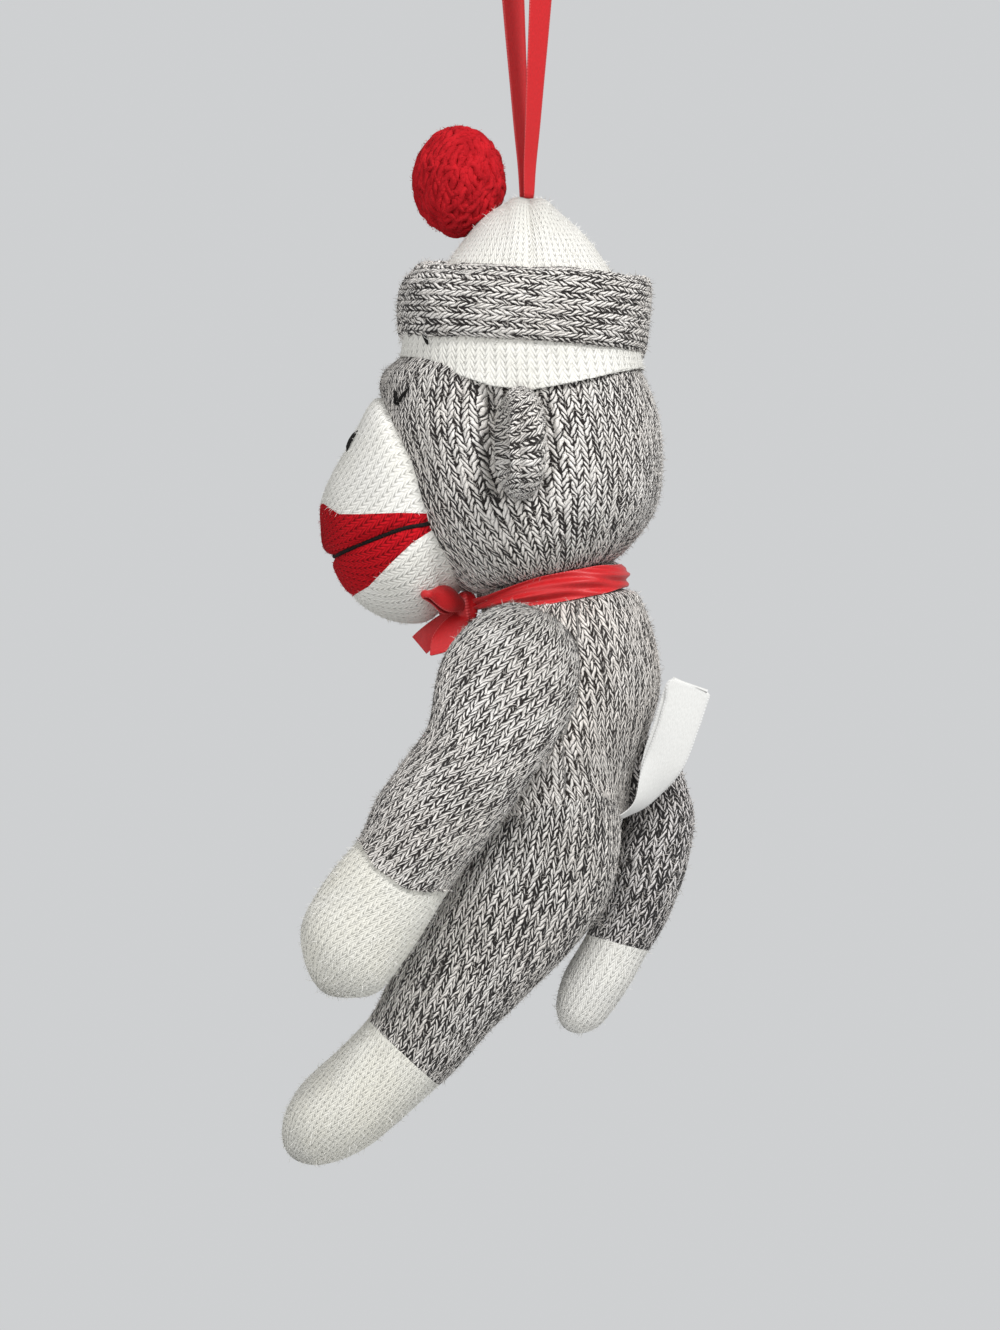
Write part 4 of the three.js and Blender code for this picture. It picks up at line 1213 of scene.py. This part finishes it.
def build_hat_band():
    net, share, runs, girth = cuff.surface(0.5)
    courses, wales = np.meshgrid(share * round(girth / COURSE), runs / WALE)
    ways = outward(net)
    net = net + ways * (0.35 * stitch_height(wales, courses) + 0.45 * lumps(net, 14, 23))[..., None]
    # The band's ends overlap at the back, where two corners stand out
    behind = bell((share - 0.238) * girth, 2.2)
    tall = (net[..., 2] - net[..., 2].mean(axis=0)) / BAND_HALF
    net[..., 1] += behind * np.clip(np.abs(tall) - 0.35, 0, 1)
    net[..., 2] += 1.3 * behind * tall * np.clip(np.abs(tall) - 0.5, 0, 1) * 2
    net[..., 2] += 0.35 * np.sin(4 * math.pi * share + 1) * np.clip(np.abs(tall), 0, 1)
    # The band is loose at the front, and its edge hangs unevenly there
    loose = bell(share - 0.8, 0.09)
    net = net + ways * (0.55 * loose * lumps(net, 5, 25))[..., None]
    net[..., 2] -= loose * np.clip(-tall - 0.5, 0, 1) * (1 + lumps(net, 4, 26))
    stitch_map = np.stack((wales, courses), axis=-1)
    finish_knit("hat_band", net, stitch_map, marl, "head", "hat_cuff", seed=71)


EAR_MIDDLE = np.array([0.505 * head.width, -0.024 * head.depth, -0.637 * head.length])


def build_ears():
    """Stuffed flaps folded into a C, hollow at the front."""
    upper = [[-0.48, 0, 0.16, 0.14], [-0.4, 0, 0.34, 0.3], [-0.2, 0, 0.48, 0.458], [0, 0, 0.5, 0.5]]
    flap = even_form(EAR_MIDDLE, 0, 29.2, 13.2, 24, FULL, upper)

    def cupped(net):
        x, y, z = np.moveaxis(net - EAR_MIDDLE, -1, 0)
        depth = np.clip(1 - (z / 13) ** 2, 0, 1)
        net = net.copy()
        net[..., 1] += 5.0 * depth * np.clip(-y / 6.6, 0, 1) * np.clip(1 - ((x - 5) / 7) ** 2, 0, 1)
        # A full rim runs down the front of the flap, with a hollow behind it
        edge = y + 3.6 - 0.1 * z - 1.6 * (z / 13) ** 2
        hollow = np.exp(-(((edge - 3.6) / 1.7) ** 2 + ((z + 1) / 8.5) ** 2))
        net[..., 0] += (0.9 * (bell(edge, 1.5) * depth) - 2.2 * hollow) * (x > 0)
        return net

    net, stitch_map = knitted(flap, 0.5, seed=29, lump=0.1, rise=0.0, bend=cupped)
    # The knit runs round the flap's edge
    stitch_map = stitch_map[..., ::-1] * [COURSE / WALE * 0.95, WALE / COURSE]
    lean = np.tanh((net[..., 2] - EAR_MIDDLE[2]) / 6.0) * (net[..., 1] - EAR_MIDDLE[1]) * 0.35
    stitch_map[..., 0] += 0.16 * stitch_map[..., 1] + lean / WALE
    net = push(net, 0.3 * stitch_height(stitch_map[..., 0], stitch_map[..., 1]))
    for side, hand in BOTH_HANDS:
        finish_net(hand + "ear_knit", net, stitch_map, marl_ear_painted_light, "head", hand + "ear", side)
        fuzz(hand + "ear_fuzz", net, "marled_knit", "head", seed=89, side=side)


POMPOM_MIDDLE = np.array([-0.048 * head.width, -0.243 * head.depth, 0.049 * head.length])
POMPOM_HALVES = (12.4, 12.4, 14.8)
YARN_DEPTH = 1.0  # how far the yarn's ball lies below the pompom's form
STRANDS = 400
GOLDEN_ANGLE = 2.399963  # radians; it spreads the strands evenly


def build_pompom():
    upper = [[-0.48, 0, 0.14, 0.14], [-0.4, 0, 0.3, 0.3], [-0.2, 0, 0.458, 0.458], [0, 0, 0.5, 0.5]]
    net, share, runs, _ = even_form(POMPOM_MIDDLE, 0, 29.6, 24.8, 24.8, ROUND, upper).surface(0.5)
    net = push(net, -YARN_DEPTH)
    stitch_map = np.stack(np.meshgrid(share, runs), axis=-1)
    finish_net("pompom_yarn", net, stitch_map, red_yarn, "pompom", "pompom")
    build_pompom_loops()
    fuzz("pompom_fuzz", push(net, YARN_DEPTH), "red_yarn", "pompom", seed=73, length=1.1)


def build_pompom_loops():
    """Looped yarn, laid in waves that mostly run up and down."""
    rng = np.random.default_rng(31)
    count = STRANDS
    turn = np.arange(count) * GOLDEN_ANGLE
    high = 1 - 2 * (np.arange(count) + 0.5) / count
    out = np.column_stack((np.sqrt(1 - high**2) * np.cos(turn), np.sqrt(1 - high**2) * np.sin(turn), high))
    upright = np.array([0.0, 0.2, 1.0]) + 0.33 * rng.normal(size=(count, 3))
    heading = unit(upright - (upright * out).sum(axis=1, keepdims=True) * out)
    aside = np.cross(out, heading)
    # The strands are straighter at the front and the top
    curl = 0.3 + 0.7 * fade(out @ np.array([0, 0.7, -0.7]), -0.6, 0.3)[:, None]
    share = np.linspace(-1, 1, 9)
    length = rng.uniform(3.0, 4.6, (count, 1))
    waves = rng.uniform(0.7, 1.3, (count, 1))
    wave = curl * rng.uniform(0.5, 1.0, (count, 1))
    wave = wave * np.sin(waves * share * 3.6 + rng.uniform(0, 6.3, (count, 1)))
    half = np.array(POMPOM_HALVES)
    flat = out[:, None] * (half / half.max()) * half.max()
    lines = flat + heading[:, None] * (length * share)[..., None] + aside[:, None] * wave[..., None]
    lines = lines / np.linalg.norm(lines / half, axis=-1, keepdims=True)
    sink = 1.05 + 1.5 * np.abs(share) ** 3 + rng.uniform(-0.35, 0.35, (count, 1)) * curl
    lines -= unit(lines) * sink[..., None]
    halves = 1.1 * (1 - 0.35 * np.abs(share) ** 3) * rng.uniform(0.8, 1.15, (count, 1))
    finish_lines("pompom_loops", lines + POMPOM_MIDDLE, halves, 5, unit(lines), red_yarn, "pompom")


def strip(name, path, wides, thick, wide_ways, look, body, node, cross=9, bulge=0.0):
    """A flat ribbon as a closed band: path in mm, half widths and the way of its width."""
    run = unit(np.gradient(path, axis=0))
    wide_ways = unit(wide_ways - (wide_ways * run).sum(axis=1, keepdims=True) * run)
    out = np.cross(run, wide_ways)[:, None]
    across = np.concatenate((np.linspace(-1, 1, cross), np.linspace(1, -1, cross), [-1]))
    offs = np.concatenate((np.full(cross, 0.5), np.full(cross, -0.5), [0.5]))
    net = path[:, None] + wide_ways[:, None] * (across[None, :, None] * wides[:, None, None])
    net = net + out * (offs[None, :, None] * thick)
    net = net + out * (np.reshape(bulge, (-1, 1)) * (1 - across[None, :] ** 2))[..., None]
    # Its two ends are drawn together to their middles
    ends = [end.mean(axis=1, keepdims=True).repeat(len(across), axis=1) for end in (net[:1], net[-1:])]
    net = np.concatenate((ends[0], net, ends[1]))
    runs = np.pad(reach_along(path), 1, "edge")
    stitch_map = np.stack(np.meshgrid((across + 1) / 2, runs), axis=-1)
    return finish_net(name, net, stitch_map, look, body, node)


def smooth_path(points, count):
    points = np.array(points, float)
    knots = reach_along(points)
    return cubic(knots, points, np.linspace(0, knots[-1], count))


STRAND = [
    [0.0141, 0], [0.0154, 0.0385], [0.0192, 0.1026], [0.0333, 0.2051], [0.0526, 0.359], [0.0756, 0.5385],
    [0.0974, 0.7179], [0.1103, 0.8205], [0.1154, 0.8846], [0.1064, 0.9295], [0.0821, 0.9667],
    [0.0436, 0.9885], [0, 0.9949],
]
SEWN_HALF = 1.45  # half the ribbon's width where it is gathered and sewn to the hat
LOOP_TURN = 30  # degrees from the doll's side


def build_hanging_loop():
    strand = np.array(STRAND) * LOOP_HEIGHT
    both = smooth_path(np.concatenate((strand, strand[-2::-1] * [-1, 1])), 121)
    cosine, sine = math.cos(math.radians(LOOP_TURN)), math.sin(math.radians(LOOP_TURN))
    path = np.column_stack((both[:, 0] * cosine, both[:, 0] * sine, both[:, 1] + 0.3))
    wides = SEWN_HALF + (RIBBON_WIDTH / 2 - SEWN_HALF) * np.clip(both[:, 1] / 66, 0, 1) ** 0.9
    wide_ways = np.tile([-sine, cosine, 0], (len(path), 1))
    piece = strip(
        "hanging_loop", path, wides, RIBBON_THICKNESS, wide_ways, red_satin, "loop", "hang_ribbon"
    )
    line = in_metres(path)


NECK_RADIUS = 20.9
BAND_THICKNESS = 0.6


def build_neck_ribbon():
    """Satin tied round the neck: gathered in soft folds, and narrow where it is knotted."""
    turns = np.linspace(0, 2 * math.pi, 281)[:, None]
    back, out = squared(np.sin(turns), FULL), squared(np.cos(turns), FULL)
    outer = np.linspace(-1, 1, 31)
    high = np.concatenate((outer, outer[::-1], outer[:1]))
    inner = np.repeat([0.0, 1.0, 0.0], [31, 31, 1])
    share = (back + 1) / 2
    half = 1.5 + 2.3 * fade(share, 0, 0.5) - 0.7 * fade(share, 0.8, 1)
    folds = 0.5 * np.sin(math.pi * (1.5 * high + 0.8 * np.sin(1.0 * turns + 0.6)))
    folds = folds + 0.3 * np.sin(math.pi * (2.9 * high + 1.7 * np.sin(2.0 * turns + 2)))
    curl = -0.5 * np.abs(high) ** 5
    radius = NECK_RADIUS + folds + curl - BAND_THICKNESS * inner
    lean = math.radians(NECK_LEAN)
    rise = half * high + 1.0
    x = out * radius
    y = NECK[1] + rise * math.sin(lean) + back * (radius + 0.1) * math.cos(lean)
    z = NECK[2] - rise * math.cos(lean) + back * radius * math.sin(lean)
    stitch_map = np.stack(np.broadcast_arrays((high + 1) / 2, turns * 20), axis=-1)
    finish_net("neck_band", np.stack((x, y, z), axis=-1), stitch_map, red_satin, "torso", "neck_ribbon")


KNOT = np.array([5.67, -15.8, -107.4])
BOW_PLACES = 60
BOW_THICKNESS = 0.35


def bow_strip(name, node, points, halves, wide_ways, bulge):
    path = smooth_path(np.array(points) + KNOT, BOW_PLACES)
    spots = np.linspace(0, 1, BOW_PLACES)
    wides = cubic(np.linspace(0, 1, len(halves)), np.array(halves)[:, None], spots)[:, 0]
    wides = np.clip(wides, 0.15, None)
    wide_ways = np.array(wide_ways, float)
    share = np.linspace(0, len(wide_ways) - 1, BOW_PLACES)
    ways = np.column_stack([np.interp(share, range(len(wide_ways)), wide_ways[:, i]) for i in range(3)])
    lift = np.interp(spots, np.linspace(0, 1, len(bulge)), bulge)
    strip(name, path, wides, BOW_THICKNESS, ways, red_satin, "torso", node, cross=15, bulge=lift)


def build_bow():
    """A small bow tied at the front of the neck."""
    bow_strip(
        "bow_loop_near", "bow_loop_left",
        points=[
            [0, 0, 0], [3.6, -2.4, 1.0], [7.6, -5.6, 2.2], [11.4, -8.8, 2.9], [13.4, -10.6, 3.2],
            [13.2, -11.3, 3.2], [10.6, -9.8, 2.7], [6.8, -6.6, 1.6], [3.0, -3.2, 0.4], [0, -0.8, 0],
        ],
        halves=[0.8, 2.3, 3.5, 3.0, 1.3, 1.2, 2.8, 3.5, 2.2, 0.8],
        wide_ways=[[-0.45, 0.1, 1], [-0.45, 0.1, 1], [-0.45, 0.1, 1]],
        bulge=[0, -1.2, -1.5, -1.3, -0.5, -0.5, -0.7, -0.7, -0.3, 0],
    )
    bow_strip(
        "bow_loop_far", "bow_loop_right",
        points=[
            [0, 0, 0], [-4.4, -1.4, -0.1], [-8.6, -3.2, -0.1], [-12.4, -5.2, -0.2], [-14.0, -6.6, -0.2],
            [-13.4, -7.1, -0.3], [-9.8, -5.6, -0.4], [-4.8, -3.2, -0.4], [0, -1.0, -0.2],
        ],
        halves=[0.8, 2.4, 3.2, 3.0, 2.3, 2.3, 3.1, 2.4, 0.8],
        wide_ways=[[0.2, 0, 1], [0.1, -0.1, 1], [0.2, 0, 1]],
        bulge=[0, 0.7, 0.9, 0.7, 0.3, 0.3, 0.6, 0.5, 0],
    )
    bow_strip(
        "bow_tail_near", "bow_tail_left",
        points=[
            [0, -0.5, -0.4], [1.2, -2.0, -3.4], [2.2, -4.2, -6.6], [3.6, -7.0, -10.0], [4.6, -9.6, -12.8],
        ],
        halves=[0.9, 2.9, 3.6, 2.9, 0.2],
        wide_ways=[[0.3, 1, 0.1], [0.3, 1, -0.3], [0.3, 1, -0.5]],
        bulge=[0, 0.5, 0.6, 0.3, 0],
    )
    bow_strip(
        "bow_tail_far", "bow_tail_right",
        points=[
            [-0.5, -0.5, -0.4], [-2.0, -3.6, -2.8], [-3.4, -7.2, -5.6], [-4.6, -10.4, -8.2],
            [-5.2, -12.6, -10.2],
        ],
        halves=[0.8, 2.2, 2.9, 3.1, 3.0],
        wide_ways=[[0.1, 0.3, 1], [0.1, 0.4, 1], [0.1, 0.5, 0.8]],
        bulge=[0, 0.4, 0.5, 0.3, 0.2],
    )
    upper = [[-0.46, 0, 0.2, 0.2], [-0.36, 0, 0.4, 0.4], [-0.15, 0, 0.5, 0.5]]
    net, share, runs, _ = even_form(KNOT, NECK_LEAN, 8.2, 5.4, 5.4, ROUND, upper).surface(0.22)
    share, runs = share[None, :], runs[:, None]
    pleats = 0.22 * np.sin(4.5 * share * 2 * math.pi + 0.5 * runs) * fade(runs, 0, 2)
    net = push(net, pleats + 0.1 * lumps(net, 3, 53))
    stitch_map = np.stack(np.broadcast_arrays(share, runs), axis=-1)
    finish_net("bow_centre", net, stitch_map, red_satin, "torso", "bow_knot")


LABEL_ROOT = (17.6, 24.37, -162.79)
LABEL_LENGTH = 39.2
LABEL_WIDTH = 12.3
LABEL_THICKNESS = 0.25
LABEL_LEAN = 180 - 27.8
LABEL_ROWS = [
    [0, 0, 0.08], [0.05, 0.1, 0.1], [0.106, 0.195, 0.15], [0.27, 0.27, 0.3], [0.5, 0.24, 0.46],
    [0.737, 0.136, 0.48], [0.95, 0.02, 0.49], [1, 0, 0.46],
]


def build_label():
    """A folded strip of white satin that leaves the seat seam and leans back and up, left bare."""
    root = Form(
        LABEL_ROOT, LABEL_LEAN, 39.7, LABEL_WIDTH, LABEL_WIDTH, ROUND,
        [[0, 0, 0.1, 0.1], [1, 0, 0.1, 0.1]],
        [[-0.1, 0], [1.1, 0]],
    )
    rows = np.array(LABEL_ROWS)
    run = np.linspace(0, 1, 60)
    read = cubic(rows[:, 0], rows, run)
    bend, half = read[:, 1] * LABEL_WIDTH, np.minimum(read[:, 2], 0.49) * LABEL_WIDTH
    bow = 0.9 * np.sin(math.pi * run) + 0.6 * run
    # The front layer is turned in a little, so the back one shows as a narrow strip beside it
    inset = 0.55 * fade(run, 0.25, 0.6) * (1 - fade(run, 0.86, 1))
    near = root.outside(run * LABEL_LENGTH, -bend - inset, bow + 0.35)
    far = root.outside(run[::-1] * LABEL_LENGTH, -bend[::-1], bow[::-1] - 0.5)
    turn = np.linspace(0, math.pi, 9)[1:-1]
    fold, side = LABEL_LENGTH + 0.35 * np.sin(turn), bow[-1] - 0.1 + 0.4 * np.cos(turn)
    top = root.outside(fold, -bend[-1], side)
    path = np.concatenate((near, top, far))
    half = half - 0.8 * fade(run, 0.96, 1) ** 3
    wides = np.concatenate((half - inset, np.full(len(top), half[-1]), half[::-1]))
    # The strip twists towards its root
    twist = 0.9 * (1 - fade(run, 0, 0.5))
    way = np.column_stack((np.sin(twist), root.cosine * np.cos(twist), root.sine * np.cos(twist)))
    tip = unit(near[-1] - near[-2])
    ways = np.concatenate((way, np.tile(way[-1] - (way[-1] @ tip) * tip, (len(top), 1)), way[::-1]))
    full = 0.5 * np.sin(math.pi * run)
    full = np.concatenate((full, np.zeros(len(top)), -full[::-1]))
    piece = strip(
        "folded_label", path, wides, LABEL_THICKNESS, ways, white_satin, "label", "care_label",
        cross=13, bulge=full,
    )


build_hanging_loop()
head_net = build_head()
build_eyes(head_net)
muzzle_net = build_muzzle()
build_mouth(muzzle_net)
build_nostrils(muzzle_net)
build_cap()
build_hat_band()
build_ears()
build_pompom()
build_torso()
build_neck_ribbon()
build_bow()
build_label()
build_limbs()

# Stage

FLOOR_HEIGHT = -0.62
FLOOR_RADIUS = 1.8


def build_stage():
    """A pale round floor that fades into the plain background."""
    bm = bmesh.new()
    bmesh.ops.create_circle(bm, cap_ends=True, segments=96, radius=FLOOR_RADIUS)
    bmesh.ops.translate(bm, verts=bm.verts, vec=(0, 0, FLOOR_HEIGHT))
    mesh = bpy.data.meshes.new("floor")
    bm.to_mesh(mesh)
    bm.free()
    s = Look("pale paper")
    place = s.place()
    colour = s.mix(s.noise(place, 3.0), (0.74, 0.75, 0.76), (0.78, 0.79, 0.8))
    x, y = s.parts(place)[:2]
    away = s.do("SQRT", s.do("MULTIPLY_ADD", x, x, s.do("MULTIPLY", y, y)))
    alpha = s.rest(s.step(away, 0.3, 1.5))
    for name, value in (("Base Color", colour), ("Roughness", 0.9), ("Alpha", alpha)):
        s.give(s.shader.inputs[name], value)
    mesh.materials.append(s.material)
    floor = add_object("floor", mesh)


build_stage()
